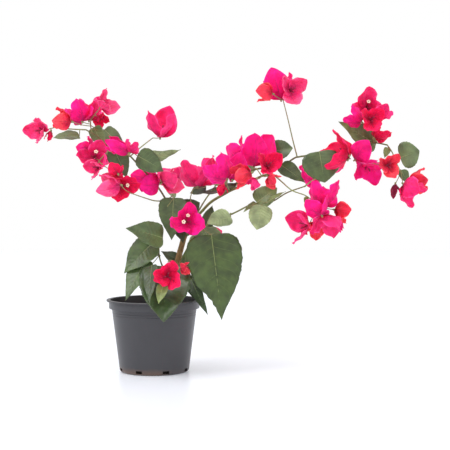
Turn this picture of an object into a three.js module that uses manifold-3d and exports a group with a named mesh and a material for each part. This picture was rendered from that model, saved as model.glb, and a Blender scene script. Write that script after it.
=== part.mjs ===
// Potted bougainvillea: a young trained shrub in a round nursery pot.
// Millimetres, +Z up. Origin: centre of the pot's flat underside. +X runs to the
// long flowering side, +Y to the back.
import * as THREE from "three";
import { mergeVertices } from "three/addons/utils/BufferGeometryUtils.js";
import Module from "manifold-3d";

const wasm = await Module();
wasm.setup();

// ---- driving sizes -------------------------------------------------------------
const GAP = 0.3; // clearance kept between touching pieces
const WELD = 1e-3; // vertices closer than this are one

const POT = {
  rimRadius: 65,
  lipThickness: 2.2,
  collarRadius: 61.6,
  collarDepth: 12,
  shoulderRadius: 57.8,
  baseRadius: 46.9,
  cornerRadius: 4,
  edgeRound: 0.6,
  height: 98,
  wall: 1.5,
  floor: 2,
  sides: 32,
};
const DRAIN = { count: 8, wide: 9, tall: 4, deep: 7, inset: 1.5 };
const COMPOST = { level: 86, edgeRound: 1.5, sides: 32 }; // level: over the pot's underside

const TRUNK_FLARE = { swell: 0.75, reach: 7, ribs: 5, ribDepth: 0.14 };
const TRUNK_SIDES = 15;
const CANE_SIDES = 6;
const STEM_SIDES = 4;
const STEM_STEPS = 1.5; // steps for each point of a spray's stem

const BRACT = {
  perBloom: 3,
  widthShare: 0.94, // of its length, in an open bloom
  flatAt: 34, // degrees of opening at which the bracts lie at their full width
  folded: 0.5, // share of the width that is left in a bud
  thick: 0.9,
  cup: 0.3, // rise of the edges for each unit of half width
  bulge: 0.15, // how far it bows out, for each unit of length
  lapTurn: 20, // degrees that each bract is turned so that it laps the next
  swell: 0.5,
  taper: 0.78,
};
// How much the bracts of a bloom differ: degrees of roll and opening, shares of length.
const BRACT_SPREAD = { roll: 12, open: 8, shortest: 0.9, longest: 1.06 };
const BRACT_STATIONS = [0.32, 0.72];
const LEAF = {
  thick: 0.9,
  thickShare: 0.014, // of its length, where that is more
  channel: 0.16, // rise of the halves beside the midrib
  arch: 0.09, // how far it arches, for each unit of length
  lobe: 0.1, // how far the halves run back beside the stalk, for each unit of length
  swell: 0.42,
};
// The slimmer a leaf, the longer its point: taper at each share of width to length.
const LEAF_POINT = { slim: 0.6, round: 1, slimTaper: 1.05, roundTaper: 0.6 };
const LEAF_STATIONS = [0.12, 0.4, 0.74];
const LARGE_LEAF_STATIONS = [0.06, 0.2, 0.42, 0.64, 0.86];
const LARGE_LEAF = 50; // a leaf longer than this is drawn with more stations
const STALK = { foot: 0.62, tip: 0.5, sides: 3, steps: 1, sink: 0.6, shortest: 1.2, places: 20 };
const CALYX = { radius: 2, tall: 2.2 }; // small prism where a bloom's three bracts meet

const BARK = { color: 0x746046, roughness: 0.85 };
const GREEN_WOOD = { color: 0x6b6a35, roughness: 0.7 };
const FLOWER = { color: 0xf2337a, roughness: 0.6 };
const FOLIAGE = { color: 0x526340, roughness: 0.55 };
const PLASTIC = { color: 0x545358, roughness: 0.5 };
const SOIL = { color: 0x2b2426, roughness: 0.95 };

// Each limb: the points its heart runs through, its radius at foot and tip, and the
// limb that it stands on.
const LIMBS = [
  {
    name: "trunk",
    route: [[18, 3, 86.3], [24, 5, 117], [29, 3, 140], [35, 0, 162], [41, -2, 184]],
    radius: [4.6, 3.7],
    steps: 8,
    on: [],
  },
  {
    name: "cane_right",
    route: [[42, -2, 185], [54, -3, 205], [67, -6, 220], [77, -9, 230], [102, -17, 245]],
    radius: [2.0, 1.7],
    steps: 8,
    on: ["trunk"],
  },
  {
    name: "cane_right_outer",
    route: [[102, -17, 245], [126, -30, 256], [145, -42, 265], [158, -50, 268]],
    radius: [1.7, 1.3],
    steps: 8,
    on: ["cane_right"],
  },
  {
    name: "cane_upper",
    route: [[102, -16, 246], [113, 4, 257], [128, 26, 271], [148, 40, 277], [172, 44, 279], [195, 46, 292]],
    radius: [1.4, 1.2],
    steps: 9,
    on: ["cane_right", "cane_right_outer"],
  },
  {
    name: "cane_upper_outer",
    route: [[195, 46, 292], [236, 42, 299], [270, 36, 308], [303, 36, 312], [321, 34, 309]],
    radius: [1.2, 1.0],
    steps: 10,
    on: ["cane_upper"],
  },
  {
    name: "cane_lower",
    route: [[43, -4, 184], [64, -18, 195], [83, -26, 206], [106, -36, 215], [131, -46, 228]],
    radius: [1.2, 1.0],
    steps: 8,
    on: ["trunk", "cane_right"],
  },
  {
    name: "cane_lower_outer",
    route: [[131, -46, 228], [157, -48, 231], [178, -46, 243], [203, -44, 252]],
    radius: [1.0, 0.8],
    steps: 7,
    on: ["cane_lower"],
  },
  {
    name: "cane_left",
    route: [[41, -2, 185], [25, 8, 217], [16, 4, 233], [8, -6, 247], [-4, -18, 263], [-29, -34, 291]],
    radius: [1.4, 1.1],
    steps: 9,
    on: ["trunk", "cane_right", "cane_lower"],
  },
  {
    name: "cane_left_outer",
    route: [[-29, -34, 291], [-52, -41, 302], [-63, -43, 309], [-73, -44, 318], [-87, -44, 326]],
    radius: [1.1, 0.85],
    steps: 6,
    on: ["cane_left"],
  },
  {
    name: "shoot_low",
    route: [[20, 2, 109], [16, -18, 134], [9, -30, 156], [8, -34, 175]],
    radius: [1.3, 0.9],
    steps: 6,
    on: ["trunk"],
  },
  {
    name: "cane_back",
    route: [[35, 0, 161], [48, 34, 194], [68, 62, 232], [92, 80, 264]],
    radius: [1.3, 0.9],
    steps: 8,
    on: ["trunk"],
  },
];

// Each spray: the points of its stem, the limb that carries it, and what it bears.
// "at" is where a bloom or leaf begins, "aim" its heading and pitch in degrees.
const SPRAYS = [
  {
    name: "far_left",
    stem: [[-87, -44, 326], [-108, -48, 327], [-124, -52, 329], [-140, -54, 325]],
    radius: [0.9, 0.6],
    on: ["cane_left_outer"],
    blooms: [
      { at: [-142, -54, 324], aim: [232, 2], size: 26, open: 40, roll: 60 },
      { at: [-132, -54, 324], aim: [235, -62], size: 15, open: 16, roll: 0 },
    ],
    leaves: [
      { at: [-97, -36, 318], aim: [-160, -5], long: 36, wide: 26, turn: -30 },
    ],
  },
  {
    name: "left_crest",
    stem: [[-79, -44, 322], [-81, -42, 330], [-81, -40, 339], [-76, -38, 347]],
    radius: [0.9, 0.6],
    on: ["cane_left_outer"],
    blooms: [
      { at: [-102, -72, 335], aim: [178, 12], size: 27, open: 32, roll: 100 },
      { at: [-91, -53, 336], aim: [132, 56], size: 31, open: 34, roll: 60 },
      { at: [-85, -27, 339], aim: [80, 72], size: 34, open: 30, roll: 20 },
      { at: [-67, -50, 356], aim: [-30, 30], size: 27, open: 43, roll: 80 },
      { at: [-75, -8, 345], aim: [-40, -30], size: 18, open: 38, roll: 10 },
    ],
    leaves: [
      { at: [-78, -32, 330], aim: [-20, -60], long: 35, wide: 20, turn: 80 },
      { at: [-65, -26, 327], aim: [10, -45], long: 43, wide: 23, turn: 65 },
    ],
  },
  {
    name: "left_low",
    stem: [[-53, -41, 302], [-58, -48, 297], [-68, -52, 286], [-73, -52, 278]],
    radius: [0.9, 0.6],
    on: ["cane_left_outer"],
    blooms: [
      { at: [-76, -41, 290], aim: [-86, 10], size: 30, open: 50, roll: 70 },
      { at: [-68, -65, 277], aim: [228, -15], size: 20, open: 40, roll: 40 },
      { at: [-42, -74, 267], aim: [110, 30], size: 19, open: 38, roll: 40 },
      { at: [-29, -74, 293], aim: [178, 33], size: 34, open: 14, roll: 0 },
      { at: [-29, -50, 295], aim: [45, 62], size: 19, open: 34, roll: 50 },
    ],
    leaves: [
      { at: [-52, -29, 301], aim: [15, -65], long: 42, wide: 29, turn: 85 },
    ],
  },
  {
    name: "left_hanging",
    stem: [[16, 4, 232], [2, -12, 232], [-11, -24, 236], [-30, -36, 243]],
    radius: [0.9, 0.6],
    on: ["cane_left"],
    blooms: [
      { at: [-41, -32, 252], aim: [-76, 0], size: 29, open: 48, roll: 10 },
      { at: [-38, -79, 253], aim: [172, 0], size: 33, open: 26, roll: 80 },
      { at: [-50, -24, 256], aim: [150, 35], size: 22, open: 34, roll: 0 },
    ],
    leaves: [],
  },
  {
    name: "tall_single",
    stem: [[-29, -34, 292], [-14, -30, 305], [0, -28, 316]],
    radius: [0.9, 0.6],
    on: ["cane_left", "cane_left_outer"],
    blooms: [
      { at: [10, -30, 316], aim: [-66, 73], size: 44, open: 28, roll: 52 },
    ],
    leaves: [
      { at: [-20, -37, 292], aim: [15, -30], long: 41, wide: 33, turn: 70 },
      { at: [-18, -16, 291], aim: [30, 10], long: 63, wide: 27, turn: -145 },
    ],
  },
  {
    name: "centre_left",
    stem: [[8, -6, 247], [5, -14, 251], [5, -22, 255]],
    radius: [0.9, 0.6],
    on: ["cane_left"],
    blooms: [
      { at: [9, -17, 255], aim: [178, 10], size: 34, open: 36, roll: 94 },
      { at: [11, -13, 257], aim: [-6, 16], size: 31, open: 36, roll: 60 },
    ],
    leaves: [],
  },
  {
    name: "centre_rose",
    stem: [[61, -5, 212], [54, 5, 222], [49, 10, 234], [53, 10, 249]],
    radius: [0.9, 0.6],
    on: ["cane_right", "cane_left", "cane_back"],
    blooms: [
      { at: [59, 7, 251], aim: [90, 73], size: 45, open: 32, roll: 28 },
    ],
    leaves: [
      { at: [70, 35, 251], aim: [155, -20], long: 27, wide: 19, turn: -65 },
    ],
  },
  {
    name: "centre_magenta",
    stem: [[102, -20, 247], [99, -26, 252], [98, -30, 257]],
    radius: [0.9, 0.6],
    on: ["cane_right", "cane_right_outer", "cane_upper"],
    blooms: [
      { at: [99, -66, 261], aim: [136, 52], size: 37, open: 36, roll: 75 },
      { at: [92, -25, 255], aim: [-80, -60], size: 16, open: 26, roll: 0 },
    ],
    leaves: [
      { at: [102, 9, 245], aim: [160, -5], long: 53, wide: 22, turn: -25 },
    ],
  },
  {
    name: "centre_crown",
    stem: [[116, -24, 251], [111, -16, 263], [108, -10, 274]],
    radius: [0.9, 0.6],
    on: ["cane_upper", "cane_right_outer", "cane_right"],
    blooms: [
      { at: [106, -19, 260], aim: [56, 62], size: 37, open: 32, roll: 15 },
      { at: [131, -71, 269], aim: [182, -18], size: 30, open: 30, roll: 0 },
    ],
    leaves: [
      { at: [111, -16, 252], aim: [160, -10], long: 37, wide: 16, turn: -30 },
    ],
  },
  {
    name: "right_heart",
    stem: [[145, -42, 265], [141, -34, 271], [138, -26, 276]],
    radius: [0.9, 0.6],
    on: ["cane_right_outer", "cane_upper"],
    blooms: [
      { at: [136, 8, 278], aim: [86, 80], size: 53, open: 30, roll: 95 },
      { at: [152, -51, 277], aim: [-76, 24], size: 27, open: 44, roll: 30 },
      { at: [152, -68, 265], aim: [-12, -36], size: 19, open: 34, roll: 60 },
      { at: [137, -87, 261], aim: [215, -48], size: 15, open: 32, roll: 0 },
    ],
    leaves: [],
  },
  {
    name: "fork_bloom",
    stem: [[46, -2, 192], [48, -22, 200], [47, -32, 207]],
    radius: [0.9, 0.6],
    on: ["trunk", "cane_right", "cane_lower", "cane_left"],
    blooms: [
      { at: [44, -32, 204], aim: [-78, 14], size: 33, open: 48, roll: 85 },
    ],
    leaves: [],
  },
  {
    name: "fork_leaves",
    stem: [[32, 4, 203], [22, -8, 214], [19, -14, 225]],
    radius: [0.9, 0.6],
    on: ["cane_left", "trunk"],
    blooms: [],
    leaves: [
      { at: [27, -10, 236], aim: [-105, -80], long: 58, wide: 39, turn: -10 },
      { at: [30, -7, 211], aim: [-40, -70], long: 39, wide: 23, turn: 35 },
      { at: [38, 4, 217], aim: [30, 25], long: 30, wide: 27, turn: 55 },
    ],
  },
  {
    name: "great_leaf",
    stem: [[67, -19, 196], [70, -24, 192]],
    radius: [0.9, 0.6],
    on: ["cane_lower", "cane_right"],
    blooms: [],
    leaves: [
      { at: [78, -27, 187], aim: [-45, -80], long: 115, wide: 75, turn: 40 },
      { at: [71, -19, 198], aim: [65, 55], long: 34, wide: 18, turn: 35 },
    ],
  },
  {
    name: "lower_leaf",
    stem: [[106, -36, 215], [103, -42, 216]],
    radius: [0.9, 0.6],
    on: ["cane_lower"],
    blooms: [],
    leaves: [
      { at: [104, -44, 211], aim: [165, -15], long: 34, wide: 30, turn: 50 },
    ],
  },
  {
    name: "left_leaves",
    stem: [[8, -34, 175], [7, -38, 180], [5, -42, 184]],
    radius: [0.9, 0.6],
    on: ["shoot_low"],
    blooms: [],
    leaves: [
      { at: [14, -42, 183], aim: [-155, 15], long: 54, wide: 37, turn: -65 },
      { at: [0, -31, 176], aim: [-160, -45], long: 56, wide: 39, turn: -50 },
    ],
  },
  {
    name: "low_leaves",
    stem: [[16, -18, 134], [7, -26, 140], [-1, -32, 148]],
    radius: [0.9, 0.6],
    on: ["shoot_low"],
    blooms: [],
    leaves: [
      { at: [-9, -35, 153], aim: [-135, -55], long: 63, wide: 33, turn: -20 },
      { at: [9, -28, 160], aim: [-155, -5], long: 25, wide: 14, turn: -20 },
      { at: [1, -70, 148], aim: [-90, -45], long: 65, wide: 20, turn: 20 },
      { at: [18, -48, 146], aim: [-90, -50], long: 88, wide: 68, turn: 0 },
      { at: [17, -93, 125], aim: [-110, -55], long: 28, wide: 15, turn: -20 },
    ],
  },
  {
    name: "low_bloom",
    stem: [[28, 0, 149], [24, -32, 153], [22, -64, 154]],
    radius: [0.9, 0.6],
    on: ["trunk", "shoot_low"],
    blooms: [
      { at: [22, -88, 136], aim: [-80, 6], size: 27, open: 46, roll: 75 },
      { at: [38, -71, 145], aim: [-20, 5], size: 14, open: 36, roll: 45 },
    ],
    leaves: [],
  },
  {
    name: "low_right",
    stem: [[31, 4, 140], [39, -2, 135], [46, -12, 129]],
    radius: [0.9, 0.6],
    on: ["trunk"],
    blooms: [],
    leaves: [
      { at: [51, -23, 127], aim: [-45, -55], long: 58, wide: 16, turn: 60 },
      { at: [43, 6, 129], aim: [-20, -70], long: 33, wide: 16, turn: 55 },
      { at: [36, 13, 148], aim: [160, 25], long: 33, wide: 18, turn: -55 },
      { at: [41, -5, 143], aim: [-55, 75], long: 28, wide: 12, turn: 155 },
    ],
  },
  {
    name: "top_bloom",
    stem: [[197, 46, 293], [191, 46, 316], [184, 44, 345], [177, 42, 372]],
    radius: [0.9, 0.6],
    on: ["cane_upper", "cane_upper_outer"],
    blooms: [
      { at: [162, 18, 378], aim: [178, 6], size: 26, open: 34, roll: 10 },
      { at: [174, 38, 371], aim: [115, 70], size: 45, open: 30, roll: 40 },
      { at: [186, 26, 383], aim: [-66, 8], size: 29, open: 48, roll: 30 },
    ],
    leaves: [],
  },
  {
    name: "upper_leaves",
    stem: [[167, 43, 279], [162, 38, 285], [159, 34, 291]],
    radius: [0.9, 0.6],
    on: ["cane_upper", "cane_right_outer"],
    blooms: [],
    leaves: [
      { at: [160, 35, 299], aim: [-10, 10], long: 31, wide: 30, turn: 70 },
      { at: [174, 38, 281], aim: [-20, -35], long: 44, wide: 26, turn: 50 },
    ],
  },
  {
    name: "mid_right",
    stem: [[201, -44, 251], [213, -20, 259], [233, 5, 270], [250, 12, 281]],
    radius: [0.9, 0.6],
    on: ["cane_lower_outer", "cane_upper_outer"],
    blooms: [
      { at: [223, 18, 248], aim: [124, 56], size: 42, open: 14, roll: 0 },
      { at: [263, -14, 293], aim: [180, 16], size: 41, open: 42, roll: 62 },
      { at: [264, 16, 288], aim: [150, 58], size: 30, open: 30, roll: 30 },
    ],
    leaves: [
      { at: [224, -4, 299], aim: [-55, -75], long: 44, wide: 52, turn: 40 },
    ],
  },
  {
    name: "crown_right",
    stem: [[303, 36, 312], [300, 34, 324], [297, 30, 335]],
    radius: [0.9, 0.6],
    on: ["cane_upper_outer"],
    blooms: [
      { at: [293, 44, 361], aim: [-84, 4], size: 33, open: 50, roll: 92 },
      { at: [283, 10, 339], aim: [150, 36], size: 27, open: 34, roll: 60 },
      { at: [294, 5, 342], aim: [-80, 10], size: 26, open: 44, roll: 30 },
      { at: [304, 20, 345], aim: [16, 48], size: 26, open: 32, roll: 42 },
      { at: [301, 21, 318], aim: [8, 34], size: 24, open: 34, roll: 90 },
    ],
    leaves: [],
  },
  {
    name: "right_cluster",
    stem: [[273, 36, 308], [274, 26, 296], [279, 16, 288]],
    radius: [0.9, 0.6],
    on: ["cane_upper_outer"],
    blooms: [
      { at: [272, -4, 287], aim: [14, 32], size: 33, open: 36, roll: 20 },
      { at: [293, 36, 285], aim: [-70, -60], size: 34, open: 42, roll: 75 },
      { at: [316, -4, 280], aim: [-75, 0], size: 26, open: 44, roll: 55 },
    ],
    leaves: [
      { at: [306, 40, 309], aim: [-165, 30], long: 64, wide: 37, turn: -70 },
    ],
  },
  {
    name: "right_tip",
    stem: [[321, 34, 309], [327, 28, 299], [331, 20, 286], [337, 12, 271]],
    radius: [0.9, 0.6],
    on: ["cane_upper_outer"],
    blooms: [
      { at: [337, -7, 255], aim: [-18, -38], size: 34, open: 36, roll: 40 },
      { at: [349, 17, 257], aim: [0, 10], size: 29, open: 34, roll: 60 },
      { at: [331, 23, 255], aim: [-90, -78], size: 20, open: 16, roll: 0 },
    ],
    leaves: [
      { at: [338, 26, 291], aim: [-15, 20], long: 28, wide: 38, turn: 85 },
      { at: [338, 16, 274], aim: [-50, -60], long: 22, wide: 16, turn: 25 },
      { at: [322, 32, 305], aim: [-145, -65], long: 16, wide: 10, turn: -50 },
    ],
  },
  {
    name: "hanging_cluster",
    stem: [[159, -50, 268], [170, -58, 258], [184, -64, 246], [202, -66, 239], [218, -66, 226]],
    radius: [0.95, 0.6],
    on: ["cane_right_outer", "cane_lower_outer"],
    blooms: [
      { at: [224, -72, 225], aim: [66, 72], size: 38, open: 34, roll: 40 },
      { at: [220, -98, 214], aim: [120, 58], size: 30, open: 36, roll: 0 },
      { at: [205, -74, 202], aim: [202, -2], size: 31, open: 42, roll: 30 },
      { at: [239, -63, 221], aim: [-5, -14], size: 24, open: 34, roll: 40 },
      { at: [227, -80, 216], aim: [-85, -66], size: 34, open: 38, roll: 60 },
      { at: [236, -46, 211], aim: [0, -48], size: 24, open: 12, roll: 0 },
      { at: [215, -50, 205], aim: [250, -72], size: 24, open: 34, roll: 30 },
    ],
    leaves: [
      { at: [201, -75, 238], aim: [70, -70], long: 17, wide: 7, turn: 145 },
    ],
  },
  {
    name: "lower_right_leaves",
    stem: [[133, -47, 228], [137, -52, 228], [141, -56, 228]],
    radius: [0.9, 0.6],
    on: ["cane_lower", "cane_lower_outer"],
    blooms: [],
    leaves: [
      { at: [145, -64, 227], aim: [-130, -70], long: 34, wide: 31, turn: 145 },
      { at: [137, -53, 230], aim: [-160, -35], long: 22, wide: 10, turn: -30 },
      { at: [138, -57, 230], aim: [15, 35], long: 34, wide: 30, turn: 55 },
      { at: [152, -65, 231], aim: [-15, 30], long: 28, wide: 10, turn: 40 },
    ],
  },
  {
    name: "left_back",
    stem: [[16, 4, 233], [23, 28, 238], [28, 52, 246], [21, 74, 261]],
    radius: [0.9, 0.6],
    on: ["cane_left"],
    blooms: [
      { at: [21, 72, 258], aim: [95, 20], size: 30, open: 46, roll: 30 },
      { at: [-9, 60, 261], aim: [140, 20], size: 27, open: 40, roll: 0 },
    ],
    leaves: [
      { at: [28, 44, 244], aim: [130, 25], long: 41, wide: 27, turn: 85 },
    ],
  },
  {
    name: "back_crown",
    stem: [[92, 80, 264], [106, 88, 278], [124, 92, 292]],
    radius: [0.9, 0.6],
    on: ["cane_back"],
    blooms: [
      { at: [118, 92, 289], aim: [80, 40], size: 33, open: 42, roll: 20 },
      { at: [81, 79, 269], aim: [110, 20], size: 30, open: 44, roll: 60 },
      { at: [149, 71, 300], aim: [60, 20], size: 30, open: 40, roll: 0 },
    ],
    leaves: [
      { at: [98, 109, 267], aim: [160, -15], long: 32, wide: 27, turn: 75 },
      { at: [112, 126, 276], aim: [15, 0], long: 31, wide: 27, turn: -80 },
    ],
  },
  {
    name: "back_leaves",
    stem: [[48, 34, 194], [67, 56, 182], [78, 66, 161]],
    radius: [0.9, 0.6],
    on: ["cane_back"],
    blooms: [
      { at: [72, 78, 178], aim: [70, -10], size: 27, open: 48, roll: 10 },
    ],
    leaves: [
      { at: [72, 69, 176], aim: [45, -65], long: 85, wide: 46, turn: -50 },
      { at: [67, 50, 182], aim: [115, -70], long: 77, wide: 41, turn: 20 },
      { at: [59, 27, 191], aim: [25, -30], long: 60, wide: 33, turn: -50 },
    ],
  },
  {
    name: "low_back",
    stem: [[24, 10, 110], [23, 30, 122], [28, 46, 132]],
    radius: [0.9, 0.6],
    on: ["trunk"],
    blooms: [
      { at: [32, 73, 130], aim: [60, 20], size: 26, open: 48, roll: 0 },
    ],
    leaves: [
      { at: [27, 55, 131], aim: [120, -55], long: 52, wide: 35, turn: 30 },
      { at: [22, 37, 127], aim: [55, -45], long: 45, wide: 33, turn: -30 },
      { at: [21, 13, 123], aim: [135, -10], long: 40, wide: 30, turn: 40 },
    ],
  },
  {
    name: "right_back",
    stem: [[242, 41, 300], [247, 58, 294], [251, 70, 289]],
    radius: [0.9, 0.6],
    on: ["cane_upper_outer"],
    blooms: [
      { at: [251, 77, 289], aim: [90, 10], size: 30, open: 50, roll: 20 },
      { at: [227, 60, 283], aim: [120, -20], size: 27, open: 40, roll: 0 },
    ],
    leaves: [
      { at: [244, 59, 294], aim: [35, -5], long: 40, wide: 27, turn: -70 },
    ],
  },
  {
    name: "left_rear",
    stem: [[-47, -39, 299], [-54, -14, 306], [-64, 6, 304]],
    radius: [0.9, 0.6],
    on: ["cane_left_outer"],
    blooms: [
      { at: [-69, 8, 298], aim: [95, 10], size: 27, open: 48, roll: 30 },
      { at: [-83, -10, 301], aim: [130, 10], size: 24, open: 42, roll: 0 },
    ],
    leaves: [
      { at: [-61, -13, 306], aim: [60, -30], long: 32, wide: 23, turn: -35 },
    ],
  },
];

// ---- small tools ---------------------------------------------------------------
const RADIAN = Math.PI / 180;

// A repeatable stream of numbers from 0 to 1 that starts from a name.
function seeded(name) {
  let state = 7;
  for (const letter of name) {
    state = (state * 31 + letter.charCodeAt(0)) % 65521;
  }
  return () => {
    state = (state * 16807 + 11) % 2147483647;
    return state / 2147483647;
  };
}

function vector(point) {
  return new THREE.Vector3(...point);
}

function along(heading, pitch) {
  const level = Math.cos(pitch * RADIAN);
  return new THREE.Vector3(
    level * Math.cos(heading * RADIAN),
    level * Math.sin(heading * RADIAN),
    Math.sin(pitch * RADIAN),
  );
}

function solid(vertices, faces) {
  const geometry = new THREE.BufferGeometry();
  const flat = vertices.flatMap((vertex) => [vertex.x, vertex.y, vertex.z]);
  geometry.setAttribute("position", new THREE.Float32BufferAttribute(flat, 3));
  geometry.setIndex(faces.flat());
  return geometry;
}

function toManifold(geometry) {
  const plain = geometry.clone();
  plain.deleteAttribute("normal");
  plain.deleteAttribute("uv");
  const merged = mergeVertices(plain, WELD);
  return new wasm.Manifold(new wasm.Mesh({
    numProp: 3,
    vertProperties: new Float32Array(merged.attributes.position.array),
    triVerts: new Uint32Array(merged.index.array),
  }));
}

// Joins solids two by two, so that no join is much larger than it has to be.
function fuse(solids) {
  if (solids.length === 1) {
    return solids[0];
  }
  const half = Math.ceil(solids.length / 2);
  return fuse(solids.slice(0, half)).add(fuse(solids.slice(half)));
}

function toGeometry(manifold) {
  const { vertProperties, triVerts } = manifold.getMesh();
  const geometry = new THREE.BufferGeometry();
  geometry.setAttribute("position", new THREE.Float32BufferAttribute(vertProperties, 3));
  geometry.setIndex([...triVerts]);
  return geometry;
}

// The largest body of a solid once its closest vertices are merged: a scrap left by a
// cut or a join is dropped.
function largestBody(manifold) {
  const rounded = toManifold(mergeVertices(toGeometry(manifold), WELD));
  const [largest] = rounded.decompose().sort((one, other) => other.volume() - one.volume());
  return toGeometry(largest);
}

function named(name, geometry, { color, roughness }) {
  const material = new THREE.MeshStandardMaterial({ color, roughness, metalness: 0 });
  const mesh = new THREE.Mesh(geometry, material);
  mesh.name = name;
  return mesh;
}

// ---- limbs ---------------------------------------------------------------------
// A round rod bent along a curve: radiusAt(share, angle) gives its radius.
function rod(curve, radiusAt, sides, steps, flatFoot = false) {
  const geometry = new THREE.CylinderGeometry(1, 1, 1, sides, steps);
  const frames = curve.computeFrenetFrames(steps, false);
  const places = geometry.attributes.position;
  for (let index = 0; index < places.count; index += 1) {
    const share = places.getY(index) + 0.5;
    const step = Math.round(share * steps);
    const angle = Math.atan2(places.getZ(index), places.getX(index));
    const onAxis = Math.hypot(places.getX(index), places.getZ(index)) < 0.5;
    const radius = onAxis ? 0 : radiusAt(share, angle);
    const heart = curve.getPointAt(step / steps);
    const place = heart.clone()
      .addScaledVector(frames.normals[step], radius * Math.cos(angle))
      .addScaledVector(frames.binormals[step], -radius * Math.sin(angle));
    if (flatFoot && step === 0) {
      place.z = heart.z;
    }
    places.setXYZ(index, place.x, place.y, place.z);
  }
  return geometry;
}

// A limb's solid. With extra it is swollen by that much, at its ends too.
function limbSolid(limb, extra = 0) {
  const route = limb.route.map(vector);
  const last = route.length - 1;
  const footward = route[0].clone().sub(route[1]).normalize();
  const tipward = route[last].clone().sub(route[last - 1]).normalize();
  route[0].addScaledVector(footward, extra);
  route[last].addScaledVector(tipward, extra);
  const curve = new THREE.CatmullRomCurve3(route, false, "centripetal");
  const [foot, tip] = limb.radius;
  const isTrunk = limb.name === "trunk";
  const length = curve.getLength();
  const radiusAt = (share, angle) => {
    let radius = foot + (tip - foot) * share + extra;
    if (isTrunk) {
      const flare = TRUNK_FLARE.swell * Math.exp(-share * length / TRUNK_FLARE.reach);
      const ribs = 1 + TRUNK_FLARE.ribDepth * Math.cos(TRUNK_FLARE.ribs * angle) * flare;
      radius *= (1 + flare) * ribs;
    }
    return radius;
  };
  const sides = isTrunk ? TRUNK_SIDES : CANE_SIDES;
  return toManifold(rod(curve, radiusAt, sides, limb.steps, isTrunk));
}

// Every limb swollen by the clearance, for cutting what stands on it.
const swollen = new Map(LIMBS.map((limb) => [limb.name, limbSolid(limb, GAP)]));

function limbMeshes() {
  return LIMBS.map((limb) => {
    let body = limbSolid(limb);
    for (const carrier of limb.on) {
      body = body.subtract(swollen.get(carrier));
    }
    const finish = limb.name === "trunk" ? BARK : GREEN_WOOD;
    return named(limb.name, largestBody(body), finish);
  });
}

// ---- blades: leaves and bracts ---------------------------------------------------
// Grows a lens-shaped blade with its own outline out of a root of four vertices.
// place(share, side, lift) gives a point at a share of the length, a sideways distance
// and a height over the blade.
function growBlade(vertices, faces, root, stations, halfWidth, thick, place) {
  let near = root;
  for (const share of stations) {
    const half = halfWidth(share);
    const first = vertices.length;
    vertices.push(
      place(share, half, 0),
      place(share, 0, thick / 2),
      place(share, -half, 0),
      place(share, 0, -thick / 2),
    );
    const far = [first, first + 1, first + 2, first + 3];
    for (let quarter = 0; quarter < 4; quarter += 1) {
      const next = (quarter + 1) % 4;
      if (near[quarter] !== near[next]) {
        faces.push([near[quarter], near[next], far[next]]);
      }
      faces.push([near[quarter], far[next], far[quarter]]);
    }
    near = far;
  }
  const tip = vertices.length;
  vertices.push(place(1, 0, 0));
  for (let quarter = 0; quarter < 4; quarter += 1) {
    faces.push([near[quarter], near[(quarter + 1) % 4], tip]);
  }
}

// Half width of an outline that swells fast and runs out to a point.
function outline(wide, swell, taper) {
  const peak = swell / (swell + taper);
  const norm = peak ** swell * (1 - peak) ** taper;
  return (share) => (wide / 2) * share ** swell * (1 - share) ** taper / norm;
}

function leafBlade(leaf) {
  const direction = along(...leaf.aim);
  const level = along(leaf.aim[0] + 90, 0);
  const side = level.clone().applyAxisAngle(direction, leaf.turn * RADIAN);
  const face = direction.clone().cross(side);
  const base = vector(leaf.at);
  const taper = THREE.MathUtils.mapLinear(
    THREE.MathUtils.clamp(leaf.wide / leaf.long, LEAF_POINT.slim, LEAF_POINT.round),
    LEAF_POINT.slim,
    LEAF_POINT.round,
    LEAF_POINT.slimTaper,
    LEAF_POINT.roundTaper,
  );
  const half = outline(leaf.wide, LEAF.swell, taper);
  const thick = Math.max(LEAF.thick, LEAF.thickShare * leaf.long);
  const runsBack = (share, across) => LEAF.lobe * leaf.long
    * (2 * across / leaf.wide) ** 2 * (1 - share) ** 2;
  const place = (share, across, lift) => base.clone()
    .addScaledVector(direction, leaf.long * share - runsBack(share, across))
    .addScaledVector(side, across)
    .addScaledVector(face, lift + LEAF.channel * Math.abs(across)
      + LEAF.arch * leaf.long * share * (1 - share));
  const stations = leaf.long > LARGE_LEAF ? LARGE_LEAF_STATIONS : LEAF_STATIONS;
  const vertices = [place(0, 0, 0)];
  const faces = [];
  growBlade(vertices, faces, [0, 0, 0, 0], stations, half, thick, place);
  return toManifold(solid(vertices, faces));
}

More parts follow.
